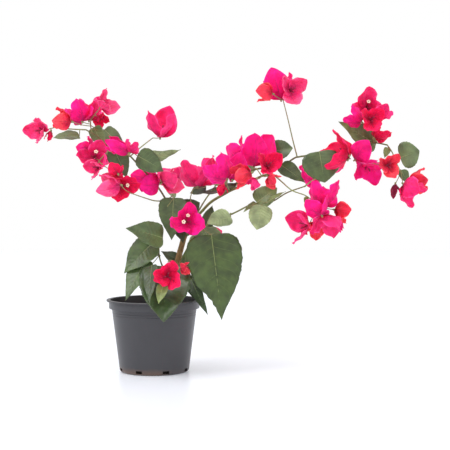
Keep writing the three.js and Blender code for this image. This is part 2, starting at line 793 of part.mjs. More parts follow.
// A bloom: three bracts that grow out of the three sides of one small prism, the calyx.
function bloomSolid(bloom, random) {
  const axis = along(...bloom.aim);
  const across = along(bloom.aim[0] + 90, 0);
  const upright = axis.clone().cross(across);
  const base = vector(bloom.at);
  const outwards = (degrees) => across.clone().multiplyScalar(Math.cos(degrees * RADIAN))
    .addScaledVector(upright, Math.sin(degrees * RADIAN));
  const step = 360 / BRACT.perBloom;
  const folded = THREE.MathUtils.clamp(bloom.open / BRACT.flatAt, BRACT.folded, 1);
  const vertices = [];
  for (let index = 0; index < BRACT.perBloom; index += 1) {
    const corner = base.clone()
      .addScaledVector(outwards(bloom.roll + (index + 0.5) * step), CALYX.radius);
    vertices.push(corner.clone().addScaledVector(axis, CALYX.tall / 2));
    vertices.push(corner.clone().addScaledVector(axis, -CALYX.tall / 2));
  }
  const faces = [[0, 2, 4], [1, 5, 3]];
  for (let index = 0; index < BRACT.perBloom; index += 1) {
    const radial = outwards(bloom.roll + index * step + BRACT_SPREAD.roll * (random() - 0.5));
    const open = (bloom.open + BRACT_SPREAD.open * (random() - 0.5)) * RADIAN;
    const long = bloom.size * THREE.MathUtils.lerp(
      BRACT_SPREAD.shortest,
      BRACT_SPREAD.longest,
      random(),
    );
    const direction = axis.clone().multiplyScalar(Math.cos(open))
      .addScaledVector(radial, Math.sin(open));
    const face = axis.clone().multiplyScalar(Math.sin(open))
      .addScaledVector(radial, -Math.cos(open))
      .applyAxisAngle(direction, BRACT.lapTurn * RADIAN);
    const side = face.clone().cross(direction);
    const half = outline(BRACT.widthShare * folded * long, BRACT.swell, BRACT.taper);
    const place = (share, sideways, lift) => base.clone()
      .addScaledVector(direction, long * share + CALYX.radius / 2)
      .addScaledVector(side, sideways)
      .addScaledVector(face, lift + BRACT.cup * Math.abs(sideways)
        - BRACT.bulge * long * Math.sin(Math.PI * share ** 0.8));
    const before = 2 * ((index + BRACT.perBloom - 1) % BRACT.perBloom);
    const root = [2 * index, before, before + 1, 2 * index + 1];
    growBlade(vertices, faces, root, BRACT_STATIONS, half, BRACT.thick, place);
  }
  return toManifold(solid(vertices, faces));
}

// ---- sprays --------------------------------------------------------------------
// The thin stalk from the nearest place on the stem to where a bloom or leaf begins.
function stalk(stem, end) {
  let nearest = stem.getPointAt(0);
  for (let place = 1; place <= STALK.places; place += 1) {
    const candidate = stem.getPointAt(place / STALK.places);
    if (candidate.distanceTo(end) < nearest.distanceTo(end)) {
      nearest = candidate;
    }
  }
  const reach = nearest.distanceTo(end);
  if (reach < STALK.shortest) {
    return null;
  }
  const sunk = end.clone().lerp(nearest, -STALK.sink / reach);
  const curve = new THREE.LineCurve3(nearest, sunk);
  const radiusAt = (share) => STALK.foot + (STALK.tip - STALK.foot) * share;
  return toManifold(rod(curve, radiusAt, STALK.sides, STALK.steps));
}

function sprayMesh(spray) {
  const random = seeded(spray.name);
  const stem = new THREE.CatmullRomCurve3(spray.stem.map(vector), false, "centripetal");
  const [foot, tip] = spray.radius;
  const radiusAt = (share) => foot + (tip - foot) * share;
  const steps = Math.ceil(STEM_STEPS * (spray.stem.length - 1));
  const pieces = [toManifold(rod(stem, radiusAt, STEM_SIDES, steps))];
  for (const organ of [...spray.blooms, ...spray.leaves]) {
    const link = stalk(stem, vector(organ.at));
    if (link) {
      pieces.push(link);
    }
  }
  for (const bloom of spray.blooms) {
    pieces.push(bloomSolid(bloom, random));
  }
  for (const leaf of spray.leaves) {
    pieces.push(leafBlade(leaf));
  }
  let body = fuse(pieces);
  for (const carrier of spray.on) {
    body = body.subtract(swollen.get(carrier));
  }
  return named(spray.name, largestBody(body), spray.blooms.length > 0 ? FLOWER : FOLIAGE);
}

// ---- pot and compost -------------------------------------------------------------
function turned(profile, sides) {
  const points = profile.map(([radius, height]) => new THREE.Vector2(radius, height));
  return new THREE.LatheGeometry(points, sides).rotateX(Math.PI / 2);
}

function wallRadius(height) {
  const top = POT.height - POT.collarDepth;
  return POT.baseRadius + (POT.shoulderRadius - POT.baseRadius) * height / top;
}

function potSolid() {
  const shoulder = POT.height - POT.collarDepth;
  const corner = Array.from({ length: 4 }, (_, step) => {
    const angle = (step / 3) * Math.PI / 2;
    return [
      wallRadius(POT.cornerRadius) - POT.cornerRadius * (1 - Math.sin(angle)),
      POT.cornerRadius * (1 - Math.cos(angle)),
    ];
  });
  const lipFoot = POT.height - POT.lipThickness;
  const collarInside = POT.collarRadius - POT.wall;
  const profile = [
    [0, 0],
    ...corner,
    [wallRadius(shoulder), shoulder],
    [POT.collarRadius - POT.edgeRound, shoulder + POT.edgeRound],
    [POT.collarRadius, lipFoot],
    [POT.rimRadius - POT.edgeRound, lipFoot],
    [POT.rimRadius, lipFoot + POT.edgeRound],
    [POT.rimRadius - POT.edgeRound, POT.height],
    [collarInside, POT.height],
    [collarInside - POT.edgeRound, shoulder + POT.wall],
    [wallRadius(shoulder) - POT.wall, shoulder],
    [wallRadius(POT.floor) - 2 * POT.wall, POT.floor],
    [0, POT.floor],
  ];
  let body = toManifold(turned(profile, POT.sides));
  for (let index = 0; index < DRAIN.count; index += 1) {
    const angle = (index + 0.5) * 2 * Math.PI / DRAIN.count;
    const slot = new THREE.BoxGeometry(DRAIN.deep, DRAIN.wide, DRAIN.tall);
    slot.translate(POT.baseRadius - DRAIN.inset, 0, POT.floor + DRAIN.tall / 2);
    slot.rotateZ(angle);
    body = body.subtract(toManifold(slot));
  }
  return body;
}

function compostSolid() {
  const foot = POT.floor + GAP;
  const inside = (height) => wallRadius(height) - POT.wall - 2 * GAP;
  return turned([
    [0, foot],
    [inside(foot) - 2 * POT.wall, foot],
    [inside(COMPOST.level), COMPOST.level - COMPOST.edgeRound],
    [inside(COMPOST.level) - COMPOST.edgeRound, COMPOST.level],
    [0, COMPOST.level],
  ], COMPOST.sides);
}

// ---- the plant -------------------------------------------------------------------
const plant = new THREE.Group();
plant.add(named("pot", largestBody(potSolid()), PLASTIC));
plant.add(named("compost", compostSolid(), SOIL));
limbMeshes().forEach((mesh) => plant.add(mesh));
SPRAYS.forEach((spray) => plant.add(sprayMesh(spray)));

export default plant;
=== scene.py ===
"""Potted bougainvillea in full detail, dressed over its plain solids.

Metres throughout, +Z up. The origin is the centre of the pot's flat underside, +X runs
to the long flowering canes and +Y to the back of the plant. Sizes in the classes and
tables are in millimetres, as a grower would measure them, and angles are in degrees.
"""

import logging
import math
from bisect import bisect_left
from collections.abc import Callable, Sequence
from dataclasses import dataclass, field, replace
from enum import Enum
from itertools import pairwise

import bpy
from mathutils import Matrix, Vector, noise


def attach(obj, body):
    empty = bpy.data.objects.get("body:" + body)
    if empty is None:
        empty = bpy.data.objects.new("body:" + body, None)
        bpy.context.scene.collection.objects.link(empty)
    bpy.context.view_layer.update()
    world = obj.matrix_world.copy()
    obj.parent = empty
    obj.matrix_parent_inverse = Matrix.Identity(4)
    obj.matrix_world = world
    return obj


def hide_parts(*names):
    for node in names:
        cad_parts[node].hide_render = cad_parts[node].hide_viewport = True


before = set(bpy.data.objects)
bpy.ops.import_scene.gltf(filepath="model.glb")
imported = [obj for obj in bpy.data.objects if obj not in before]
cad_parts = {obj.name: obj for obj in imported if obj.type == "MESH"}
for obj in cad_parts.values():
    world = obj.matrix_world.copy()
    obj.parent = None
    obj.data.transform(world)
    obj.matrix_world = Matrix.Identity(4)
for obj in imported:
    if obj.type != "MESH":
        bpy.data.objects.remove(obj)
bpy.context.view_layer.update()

LOG = logging.getLogger("bougainvillea")
MM = 0.001
TURN = 2 * math.pi

Pair = tuple[float, float]
Triple = tuple[float, float, float]
Colour = tuple[float, float, float, float]
Tones = tuple[tuple[float, float | str], ...]
Feeds = dict[str | int, object]
Random = Callable[[], float]
Radius = Callable[[float, float], float]


# ---- small tools ---------------------------------------------------------------------
def seeded(name: str) -> Random:
    """Gives a repeatable stream of numbers that starts from a name.

    Args:
        name: the spray's name.

    Returns:
        A function whose every call gives the next number from 0 to 1.
    """
    state, spread, most = 7, 31, 65521
    for letter in name:
        state = (state * spread + ord(letter)) % most
    factor, nudge, span = 16807, 11, 2147483647

    def draw() -> float:
        """Returns the next number."""
        nonlocal state
        state = (state * factor + nudge) % span
        return state / span

    return draw


def along(heading: float, pitch: float) -> Vector:
    """Returns the unit vector of a heading round from +X and a pitch above level."""
    level, turn = math.cos(math.radians(pitch)), math.radians(heading)
    return Vector((level * math.cos(turn), level * math.sin(turn), math.sin(math.radians(pitch))))


def turned(vector: Vector, axis: Vector, degrees: float) -> Vector:
    """Returns the vector turned about an axis by so many degrees."""
    return Matrix.Rotation(math.radians(degrees), 3, axis) @ vector


def mix(low: float, high: float, share: float) -> float:
    """Returns the value at a share of the way from low to high."""
    return low + (high - low) * share


def hump(offset: float, width: float) -> float:
    """Returns 1 at no offset, dying away over the square root of the width."""
    return math.exp(-(offset**2) / width)


def rough(spot: Vector, swells: Sequence[Pair]) -> float:
    """Returns the noise at a place, summed over how close and how high each swell is."""
    return sum(high * noise.noise(spot * close) for close, high in swells)


def ring(radius: float, sides: int, height: Callable[[float, float], float]) -> list[Vector]:
    """Lays out a level ring.

    Args:
        radius: its radius, in millimetres.
        sides: how many points round it.
        height: gives the height over a place, in millimetres.

    Returns:
        Its points in metres, the first again at the end.
    """
    angles = [TURN * side / sides for side in range(sides)]
    places = [(radius * math.cos(angle), radius * math.sin(angle)) for angle in angles]
    row = [Vector((x, y, height(x, y))) * MM for x, y in places]
    return [*row, row[0]]


def outline(wide: float, swell: float, taper: float) -> Callable[[float], float]:
    """Describes a blade that swells fast from its foot and runs out to a point.

    Args:
        wide: the full width at the widest place.
        swell: how slowly it widens from the foot.
        taper: how slowly it narrows to the tip.

    Returns:
        A function that gives the half width at a share of the length.
    """
    peak = swell / (swell + taper)
    norm = peak**swell * (1 - peak) ** taper
    return lambda share: wide / 2 * share**swell * (1 - share) ** taper / norm


def placed(name: str, data: bpy.types.ID) -> bpy.types.Object:
    """Adds an object to the scene.

    Args:
        name: its name.
        data: the mesh, lamp or camera that it holds.

    Returns:
        The new object.
    """
    made = bpy.data.objects.new(name, data)
    bpy.context.scene.collection.objects.link(made)
    return made


@dataclass
class Path:
    """A smooth line through a few points, measured by its length, in metres."""

    points: list[Vector]
    steps: int = 24
    line: list[Vector] = field(init=False)
    reached: list[float] = field(init=False)

    # Which knots each round of the curve's sum lies between.
    rounds = (((0, 1), (1, 2), (2, 3)), ((0, 2), (1, 3)), ((1, 2),))

    def __post_init__(self) -> None:
        """Lays the close points of the line and the length reached at each."""
        before = self.points[0] * 2 - self.points[1]
        after = self.points[-1] * 2 - self.points[-2]
        heart = [before, *self.points, after]
        self.line = [self.points[0].copy()]
        for index in range(len(self.points) - 1):
            span = heart[index : index + 4]
            shares = [(step + 1) / self.steps for step in range(self.steps)]
            self.line += [self.between(span, share) for share in shares]
        self.reached = [0.0]
        for one, other in pairwise(self.line):
            self.reached.append(self.reached[-1] + (other - one).length)

    def between(self, span: list[Vector], share: float) -> Vector:
        """Finds a point on the curve between the middle two of four points.

        Args:
            span: the four points.
            share: how far from the second to the third.

        Returns:
            The point, on a centripetal curve.
        """
        knots = [0.0]
        for one, other in pairwise(span):
            knots.append(knots[-1] + max((other - one).length, 1e-9) ** 0.5)
        at = mix(knots[1], knots[2], share)
        for pairs in self.rounds:
            parts = [(at - knots[low]) / (knots[high] - knots[low]) for low, high in pairs]
            span = [one.lerp(other, part) for (one, other), part in zip(pairwise(span), parts)]
        return span[0]

    def at(self, share: float) -> Vector:
        """Finds a point by its share of the length.

        Args:
            share: from 0 at the foot to 1 at the tip.

        Returns:
            The point.
        """
        goal = min(max(share, 0.0), 1.0) * self.length
        index = min(max(bisect_left(self.reached, goal), 1), len(self.reached) - 1)
        start, end = self.reached[index - 1 : index + 1]
        part = (goal - start) / (end - start) if end > start else 0.0
        return self.line[index - 1].lerp(self.line[index], min(max(part, 0.0), 1.0))

    @property
    def length(self) -> float:
        """Returns the length of the whole line."""
        return self.reached[-1]

    def spots(self, count: int) -> list[Vector]:
        """Returns the ends of so many even steps along the line."""
        return [self.at(step / count) for step in range(count + 1)]


def path_of(points: Sequence[Triple]) -> Path:
    """Returns the smooth path through points given in millimetres."""
    return Path([Vector(point) * MM for point in points])


# ---- the mesh of one piece -------------------------------------------------------------
@dataclass
class Skin:
    """Gathers the points and faces of one piece, and the finish of each face."""

    points: list[Vector] = field(default_factory=list)
    faces: list[tuple[int, ...]] = field(default_factory=list)
    finishes: list[int] = field(default_factory=list)
    materials: list[bpy.types.Material] = field(default_factory=list)

    def finish(self, finish: "Finish") -> int:
        """Finds a finish on this piece, adding it if it is new.

        Args:
            finish: the finish.

        Returns:
            Its number on the piece.
        """
        material = finish.material()
        if material not in self.materials:
            self.materials.append(material)
        return self.materials.index(material)

    def face(self, corners: tuple[int, ...], finish: int) -> None:
        """Adds one face with its finish."""
        self.faces.append(corners)
        self.finishes.append(finish)

    def row(self, points: Sequence[Vector]) -> list[int]:
        """Adds points and returns their numbers."""
        self.points.extend(points)
        return list(range(len(self.points) - len(points), len(self.points)))

    def sheet(self, rows: list[list[Vector]], finish: int, flip: bool = False) -> list[list[int]]:
        """Adds a sheet of quads.

        Args:
            rows: its points, row by row.
            finish: the finish of its faces.
            flip: whether it faces the other way.

        Returns:
            The number of each point, row by row.
        """
        numbers = [self.row(row) for row in rows]
        for near, far in pairwise(numbers):
            for (a, b), (c, d) in zip(pairwise(near), pairwise(far)):
                self.face((a, c, d, b) if flip else (a, b, d, c), finish)
        return numbers

    def tube(self, line: Sequence[Vector], radius: Radius, sides: int, finish: int) -> None:
        """Adds a closed tube whose ends are rounded off to a point.

        Args:
            line: the points of its heart.
            radius: gives the radius at a share of the length and an angle.
            sides: how many points round it.
            finish: the finish of its faces.
        """
        last = len(line) - 1
        across = (line[1] - line[0]).normalized().orthogonal().normalized()
        rings: list[list[int]] = []
        for step, heart in enumerate(line):
            way = (line[min(step + 1, last)] - line[max(step - 1, 0)]).normalized()
            across = (across - way * across.dot(way)).normalized()
            over = way.cross(across)
            spots = []
            for angle in (TURN * side / sides for side in range(sides)):
                far = radius(step / last, angle)
                x, y = far * math.cos(angle), far * math.sin(angle)
                spots.append(heart + across * x + over * y)
            rings.append(self.row(spots))
        for near, far in pairwise(rings):
            for (a, b), (c, d) in zip(pairwise([*near, near[0]]), pairwise([*far, far[0]])):
                self.face((a, b, d, c), finish)
        for at, before, ahead in ((0, 1, False), (-1, -2, True)):
            reach = (self.points[rings[at][0]] - line[at]).length * 0.5
            (tip,) = self.row([line[at] + (line[at] - line[before]).normalized() * reach])
            for one, other in pairwise([*rings[at], rings[at][0]]):
                self.face((one, other, tip) if ahead else (tip, other, one), finish)

    def build(self, name: str, smooth: bool = True) -> bpy.types.Object:
        """Makes the piece.

        Args:
            name: the piece's name.
            smooth: whether its faces are shaded smoothly.

        Returns:
            The new object.
        """
        mesh = bpy.data.meshes.new(name)
        mesh.from_pydata([tuple(point) for point in self.points], [], self.faces)
        for material in self.materials:
            mesh.materials.append(material)
        mesh.polygons.foreach_set("material_index", self.finishes)
        mesh.polygons.foreach_set("use_smooth", [smooth] * len(self.faces))
        mesh.update()
        return placed(name, mesh)


def dress(piece: bpy.types.Object, slot: str, *nodes: str) -> None:
    """Ties a piece to the plain solids that it stands for and reports it.

    Args:
        piece: the finished piece.
        slot: not used.
        nodes: the solids it replaces.
    """
    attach(piece, "root")
    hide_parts(*nodes)
    LOG.info("%s: %d faces, stands for %s", piece.name, len(piece.data.polygons), ", ".join(nodes))


# ---- finishes --------------------------------------------------------------------------
def linear(code: str, lift: float = 1.0) -> Colour:
    """Turns a paint code into the linear colour that the shader expects.

    Args:
        code: the sRGB colour as six hex digits.
        lift: how many times as bright as the code it is to be.

    Returns:
        Red, green, blue and alpha.
    """
    parts = [int(code[place : place + 2], 16) / 255 for place in (0, 2, 4)]
    made = [p / 12.92 if p <= 0.04045 else ((p + 0.055) / 1.055) ** 2.4 for p in parts]
    return (made[0] * lift, made[1] * lift, made[2] * lift, 1.0)


def grid(where: bpy.types.NodeSocket, size: float) -> Feeds:
    """Returns what feeds a pattern that repeats every so many millimetres."""
    return {"Vector": where, "Scale": 1 / (size * MM)}


def add(
    tree: bpy.types.NodeTree,
    kind: str,
    feeds: Feeds,
    out: str | int = 0,
    stops: Sequence[tuple[float, Colour]] = (),
    **settings: str,
) -> bpy.types.NodeSocket | None:
    """Adds one shader node with its settings, and what feeds it.

    Args:
        tree: the material's nodes.
        kind: the node's type, after the word that all of them start with.
        feeds: for each input, another node's output or a plain value.
        out: the output that is wanted.
        stops: the places and colours of a colour ramp.
        settings: the node's own settings.

    Returns:
        The wanted output, if the node has any.
    """
    node = tree.nodes.new("ShaderNode" + kind)
    for key, value in settings.items():
        setattr(node, key, value)
    for key, value in feeds.items():
        if isinstance(value, bpy.types.NodeSocket):
            tree.links.new(value, node.inputs[key])
        else:
            node.inputs[key].default_value = value
    for place, (share, colour) in enumerate(stops):
        held = node.color_ramp.elements
        spot = held[place] if place < len(held) else held.new(share)
        spot.position, spot.color = share, colour
    return node.outputs[out] if node.outputs else None


@dataclass(frozen=True)
class Ground:
    """What a finish starts from: its nodes, the place in metres, its patches and colour."""

    tree: bpy.types.NodeTree
    where: bpy.types.NodeSocket
    patches: bpy.types.NodeSocket
    colour: bpy.types.NodeSocket


@dataclass(frozen=True)
class Finish:
    """A surface: its mean colour, its patches and relief, and how it throws back light.

    Its patches measure "patch" millimetres and are as broken up as "detail" says. Each of
    its "tones" has a place on them, and is a share of the mean colour or a code. Its
    relief is "depth" millimetres high and follows a net of so many millimetres, or a
    grain, or else the patches.
    """

    name: str
    colour: str
    roughness: float = 0.6
    ior: float = 1.45
    patch: float = 6.0
    detail: float = 3.0
    tones: Tones = ((0.3, 0.9), (0.7, 1.12))
    net: float = 0.0
    grain: float = 0.0
    grain_detail: float = 3.0
    depth: float = 0.0
    strength: float = 1.0

    def material(self) -> bpy.types.Material:
        """Makes the material, once for each name.

        Returns:
            The material.
        """
        found = bpy.data.materials.get(self.name)
        if found:
            return found
        made = bpy.data.materials.new(self.name)
        made.use_nodes = True
        made.diffuse_color = linear(self.colour)
        tree = made.node_tree
        tree.nodes.clear()
        where = add(tree, "TexCoord", {}, "Object")
        patches = add(tree, "TexNoise", grid(where, self.patch) | {"Detail": self.detail})
        stops = [(at, self.shade(tone)) for at, tone in self.tones]
        colour = add(tree, "ValToRGB", {"Fac": patches}, stops=stops)
        feeds = {"Roughness": self.roughness, "IOR": self.ior, "Base Color": colour}
        feeds |= self.weave(Ground(tree, where, patches, colour))
        if self.depth and "Normal" not in feeds:
            feeds |= self.relief(tree, where, patches)
        add(tree, "OutputMaterial", {"Surface": add(tree, "BsdfPrincipled", feeds)})
        return made

    def shade(self, tone: float | str) -> Colour:
        """Returns a colour by its code or by its share of the mean colour."""
        return linear(tone) if isinstance(tone, str) else linear(self.colour, tone)

    def relief(
        self, tree: bpy.types.NodeTree, where: bpy.types.NodeSocket, height: bpy.types.NodeSocket
    ) -> Feeds:
        """Raises the surface by its net, its grain or a given pattern.

        Args:
            tree: the material's nodes.
            where: the place in the part's own frame, in metres.
            height: the pattern that is raised where there is no net or grain.

        Returns:
            What feeds the shader with the relief.
        """
        if self.net:
            height = add(tree, "TexVoronoi", grid(where, self.net), feature="DISTANCE_TO_EDGE")
        elif self.grain:
            detail = {"Detail": self.grain_detail}
            height = add(tree, "TexNoise", grid(where, self.grain) | detail)
        rise = {"Height": height, "Distance": self.depth * MM, "Strength": self.strength}
        return {"Normal": add(tree, "Bump", rise)}

    def weave(self, on: Ground) -> Feeds:
        """Returns what else feeds the shader, by input."""
        return {}


@dataclass(frozen=True)
class MouldedPlastic(Finish):
    """Injection-moulded polypropylene: a fine satin grain, rubbed and a little dusty.

    Blown sand in the mould leaves a 0.4 mm grain that breaks up the shine, and water
    splashing from the ground leaves a thin brown film towards the foot.
    """

    patch: float = 22.0
    tones: Tones = ((0.3, 0.94), (0.7, 1.07))
    grain: float = 0.4
    grain_detail: float = 2.0
    depth: float = 0.05
    strength: float = 0.5
    soil: str = "6a5140"
    film_top: float = 7.0
    film_side: Pair = (8.0, 26.0)
    film_share: Pair = (0.65, 0.12)
    blotch: float = 5.0

    def weave(self, on: Ground) -> Feeds:
        """Adds the film of soil, thick on the left and thin on the right, and the rubbed shine.

        Args:
            on: what the finish starts from.

        Returns:
            The colour and roughness that feed the shader.
        """
        spot = add(on.tree, "SeparateXYZ", {"Vector": on.where}).node.outputs
        near, far = (reach * MM for reach in self.film_side)
        most, least = self.film_share
        side = {"From Min": near, "From Max": far, "To Min": most, "To Max": least}
        splash = add(on.tree, "MapRange", {"Value": spot["X"]} | side)
        blotches = add(on.tree, "TexNoise", grid(on.where, self.blotch) | {"Detail": 3.0})
        ragged = add(on.tree, "Math", {0: blotches, 1: self.blotch * MM}, operation="MULTIPLY")
        lifted = add(on.tree, "Math", {0: spot["Z"], 1: ragged}, operation="SUBTRACT")
        fade = {"From Min": 0.0, "From Max": self.film_top * MM, "To Min": splash, "To Max": 0.0}
        film = add(on.tree, "MapRange", {"Value": lifted} | fade)
        soiled = {0: film, 6: on.colour, 7: linear(self.soil)}
        shine = {"To Min": self.roughness - 0.08, "To Max": self.roughness + 0.12}
        return {
            "Base Color": add(on.tree, "Mix", soiled, 2, data_type="RGBA"),
            "Roughness": add(on.tree, "MapRange", {"Value": on.patches} | shine),
        }


@dataclass(frozen=True)
class Compost(Finish):
    """Moist peat compost: dark crumbs with paler fibres, matt all over."""

    patch: float = 1.6
    detail: float = 6.0
    tones: Tones = ((0.3, 0.45), (0.7, 2.1))
    depth: float = 0.8


@dataclass(frozen=True)
class OldBark(Finish):
    """Thin corky bark: grey-brown plates over a warmer brown, cracked along the stem.

    The first year's green skin has split and dried, so it is matt and rough, and the
    cracks are darker and warmer than the plates between them.
    """

    patch: float = 14.0
    detail: float = 2.0
    tones: Tones = ((0.3, 0.7), (0.7, 1.25))
    plates: Tones = ((0.34, "563822"), (0.48, 1.0), (0.66, "b4966c"))
    plate: float = 1.5
    drawn: float = 0.22
    clouded: float = 0.45
    depth: float = 0.35
    strength: float = 0.8

    def weave(self, on: Ground) -> Feeds:
        """Adds plates drawn out along the stem, with fine fibres.

        Args:
            on: what the finish starts from.

        Returns:
            The colour and relief that feed the shader.
        """
        drawn = add(on.tree, "Mapping", {"Vector": on.where, "Scale": (1.0, 1.0, self.drawn)})
        plates = add(on.tree, "TexNoise", grid(drawn, self.plate) | {"Detail": 6.0})
        stops = [(at, self.shade(tone)) for at, tone in self.plates]
        tint = add(on.tree, "ValToRGB", {"Fac": plates}, stops=stops)
        clouded = {0: self.clouded, 6: tint, 7: on.colour}
        colour = add(on.tree, "Mix", clouded, 2, data_type="RGBA")
        return {"Base Color": colour} | self.relief(on.tree, on.where, plates)


@dataclass(frozen=True)
class GreenBark(Finish):
    """Young wood still under its skin: olive, faintly ribbed, with a dull wax.

    Sun browns it in patches a few millimetres long.
    """

    patch: float = 9.0
    tones: Tones = ((0.36, "6f5a38"), (0.52, 1.0), (0.72, 1.35))
    grain: float = 0.7
    depth: float = 0.12
    strength: float = 0.6

    def weave(self, on: Ground) -> Feeds:
        """Adds the dull wax."""
        return {"Coat Weight": 0.12, "Coat Roughness": 0.5}


@dataclass(frozen=True)
class LeafBlade(Finish):
    """Living leaf: a thin waxy skin over green cells, a little paler in patches.

    The wax gives a broad soft shine, the cells under it pass some light through, and
    the net of finest veins puckers the skin every millimetre or so.
    """

    patch: float = 13.0
    detail: float = 4.0
    tones: Tones = ((0.34, 0.68), (0.66, 1.36))
    net: float = 1.3
    depth: float = 0.12
    strength: float = 0.35
    wax: float = 0.35

    def weave(self, on: Ground) -> Feeds:
        """Adds the wax and the light that passes through."""
        return {
            "Coat Weight": self.wax,
            "Coat Roughness": 0.28,
            "Subsurface Weight": 0.18,
            "Subsurface Scale": 0.6 * MM,
            "Subsurface Radius": (0.7, 1.0, 0.3),
        }


@dataclass(frozen=True)
class Vein(Finish):
    """The firm cords of a blade: smooth, faintly clouded, and paler than what they hold."""


@dataclass(frozen=True)
class Bract(Finish):
    """Papery coloured bract: dry, thin as tissue, without wax, glowing against light.

    Its colour deepens in soft cloudy streaks, and a crêpe of fine veins about a
    millimetre apart takes the shine off it.
    """

    patch: float = 9.0
    detail: float = 4.0
    tones: Tones = ((0.34, 0.8), (0.6, 1.14))
    net: float = 0.9
    depth: float = 0.1
    strength: float = 0.3

    def toned(self, share: float) -> "Bract":
        """Shifts the tone: the green moves fastest, then the blue.

        Args:
            share: below 1 for a deeper skin and above it for a paler one.

        Returns:
            The same skin in that tone.
        """
        parts = zip((0, 2, 4), (1.0, 4.0, 1.3))
        shares = [int(self.colour[at : at + 2], 16) * share**power for at, power in parts]
        code = "".join(f"{min(round(part), 255):02x}" for part in shares)
        return replace(self, name=f"{self.name}_{round(100 * share)}", colour=code)

    def weave(self, on: Ground) -> Feeds:
        """Adds the light that passes through and the dry bloom of the paper."""
        return {
            "Specular IOR Level": 0.14,
            "Subsurface Weight": 0.5,
            "Subsurface Scale": 0.8 * MM,
            "Subsurface Radius": (1.0, 0.25, 0.4),
            "Sheen Weight": 0.06,
            "Sheen Roughness": 0.5,
        }


@dataclass(frozen=True)
class StudioFloor(Finish):
    """Milky white acrylic board, lit a little from below, with a faint even stipple."""

    patch: float = 3.0
    detail: float = 2.0
    tones: Tones = ((0.3, 0.99), (0.7, 1.01))

    def weave(self, on: Ground) -> Feeds:
        """Adds the polish and the light from below."""
        glow = {"Emission Color": linear("f1f6ff"), "Emission Strength": 0.14}
        return {"Specular IOR Level": 0.8} | glow


class Tint(Enum):
    """The colours of the bracts and their veins, from a fresh bloom to an old one."""

    PINK = ("ff4682", "cc245e")
    ROSE = ("ff307c", "c21c58")
    MAGENTA = ("ff1482", "b00a5c")
    CRIMSON = ("f61456", "960f38")
    CORAL = ("f43c54", "b02238", 0.66)
    MAROON = ("8f2245", "74203a", 0.6)

    def __init__(self, skin: str, vein: str, roughness: float = 0.62) -> None:
        """Describes the bract and its veins."""
        self.bract = Bract(f"bract_{self.name.lower()}", skin, roughness)
        self.vein = Vein(f"vein_{self.name.lower()}", vein)


class Kind(Enum):
    """The kinds of leaf, one of them partly painted shade: upper skin, underside, midrib and side
    veins.
    """

    GREAT = ("415422", "7f8a60", "82905a", "56693a")
    MID = ("4c6035", "8b966a", "8e9a66", "60744a")
    # A darker green that is partly painted shade: it goes to leaves that face away from the light
    # and to leaves in shadow.
    DARK = ("364828", "77835a", "708056", "485c38")
    FRESH = ("62744a", "8b966a", "98a270", "728456")
    PALE = ("6c7c4a", "98a376", "a2ac7a", "829060")
    BIG = ("354924", "869264", "74824e", "4e6238")
    YOUNG = ("7b8b4e", "99a56d", "a3ae78", "8e9c62")

    def __init__(self, top: str, under: str, rib: str, vein: str) -> None:
        """Describes the four finishes of this kind of leaf."""
        name = f"leaf_{self.name.lower()}"
        self.finishes = (
            LeafBlade(f"{name}_upper", top, 0.45),
            LeafBlade(f"{name}_under", under, 0.62, wax=0.05),
            Vein(f"{name}_rib", rib, 0.55),
            Vein(f"{name}_vein", vein, 0.55),
        )


PINK, ROSE, MAGENTA, CRIMSON, CORAL, MAROON = Tint
GREAT, MID, DARK, FRESH, PALE, BIG, YOUNG = Kind
POT_PLASTIC = MouldedPlastic("satin_polypropylene", "3a393d", 0.34, 1.49)
PEAT = Compost("moist_peat", "2e2623", 0.95)
BARK = OldBark("trunk_bark", "95784e", 0.88)
GREEN_WOOD = GreenBark("cane_bark", "6f713d", 0.55)
STALK_TONES = ((0.36, "9a7f5a"), (0.52, 1.0), (0.72, 1.35))
STALK_SKIN = GreenBark("stalk_skin", "858b58", 0.55, tones=STALK_TONES)
FLORET_TUBE = Vein("floret_tube", "8e2a48")
FLORET_FACE = Vein("floret_face", "f6e2cc", 0.7)
FLORET_THROAT = Vein("floret_throat", "cfc36a", 0.7)
BOARD = StudioFloor("studio_board", "eff3fa", 0.3)


# ---- the limbs -------------------------------------------------------------------------
@dataclass(frozen=True)
class Limb:
    """One tapering limb: the points its heart runs through, and its radii."""

    name: str
    route: tuple[Triple, ...]
    foot: float
    tip: float

    skin: Finish = GREEN_WOOD
    slot: str = "green_wood"
    sides: int = 14
    step: float = 1.2
    fewest: int = 12
    joint_gap: float = 17.0
    joint_swell: float = 0.16
    joint_reach: float = 0.006
    joint_turn: float = 2.4  # radians from one joint to the next

    def radius(self, path: Path, share: float, angle: float) -> float:
        """Gives the limb's radius.

        Args:
            path: the line of its heart.
            share: the share of its length.
            angle: the angle round it.

        Returns:
            The radius in metres, with the joints where leaves have stood.
        """
        reached = share * path.length / (self.joint_gap * MM)
        joint = hump((reached % 1.0) - 0.5, self.joint_reach)
        side = 0.5 + 0.5 * math.cos(angle - self.joint_turn * math.floor(reached))
        return mix(self.foot, self.tip, share) * MM * (1 + self.joint_swell * joint * side)

    def grow(self, skin: Skin) -> Path:
        """Adds the limb itself.

        Args:
            skin: the piece it is part of.

        Returns:
            The line of its heart.
        """
        path = path_of(self.route)
        line = path.spots(max(self.fewest, round(path.length / (self.step * MM))))
        finish = skin.finish(self.skin)
        skin.tube(line, lambda share, angle: self.radius(path, share, angle), self.sides, finish)
        return path

    def dress(self) -> None:
        """Grows the limb and ties it to its solid."""
        skin = Skin()
        self.grow(skin)
        dress(skin.build(self.name + "_bark"), self.slot, self.name)


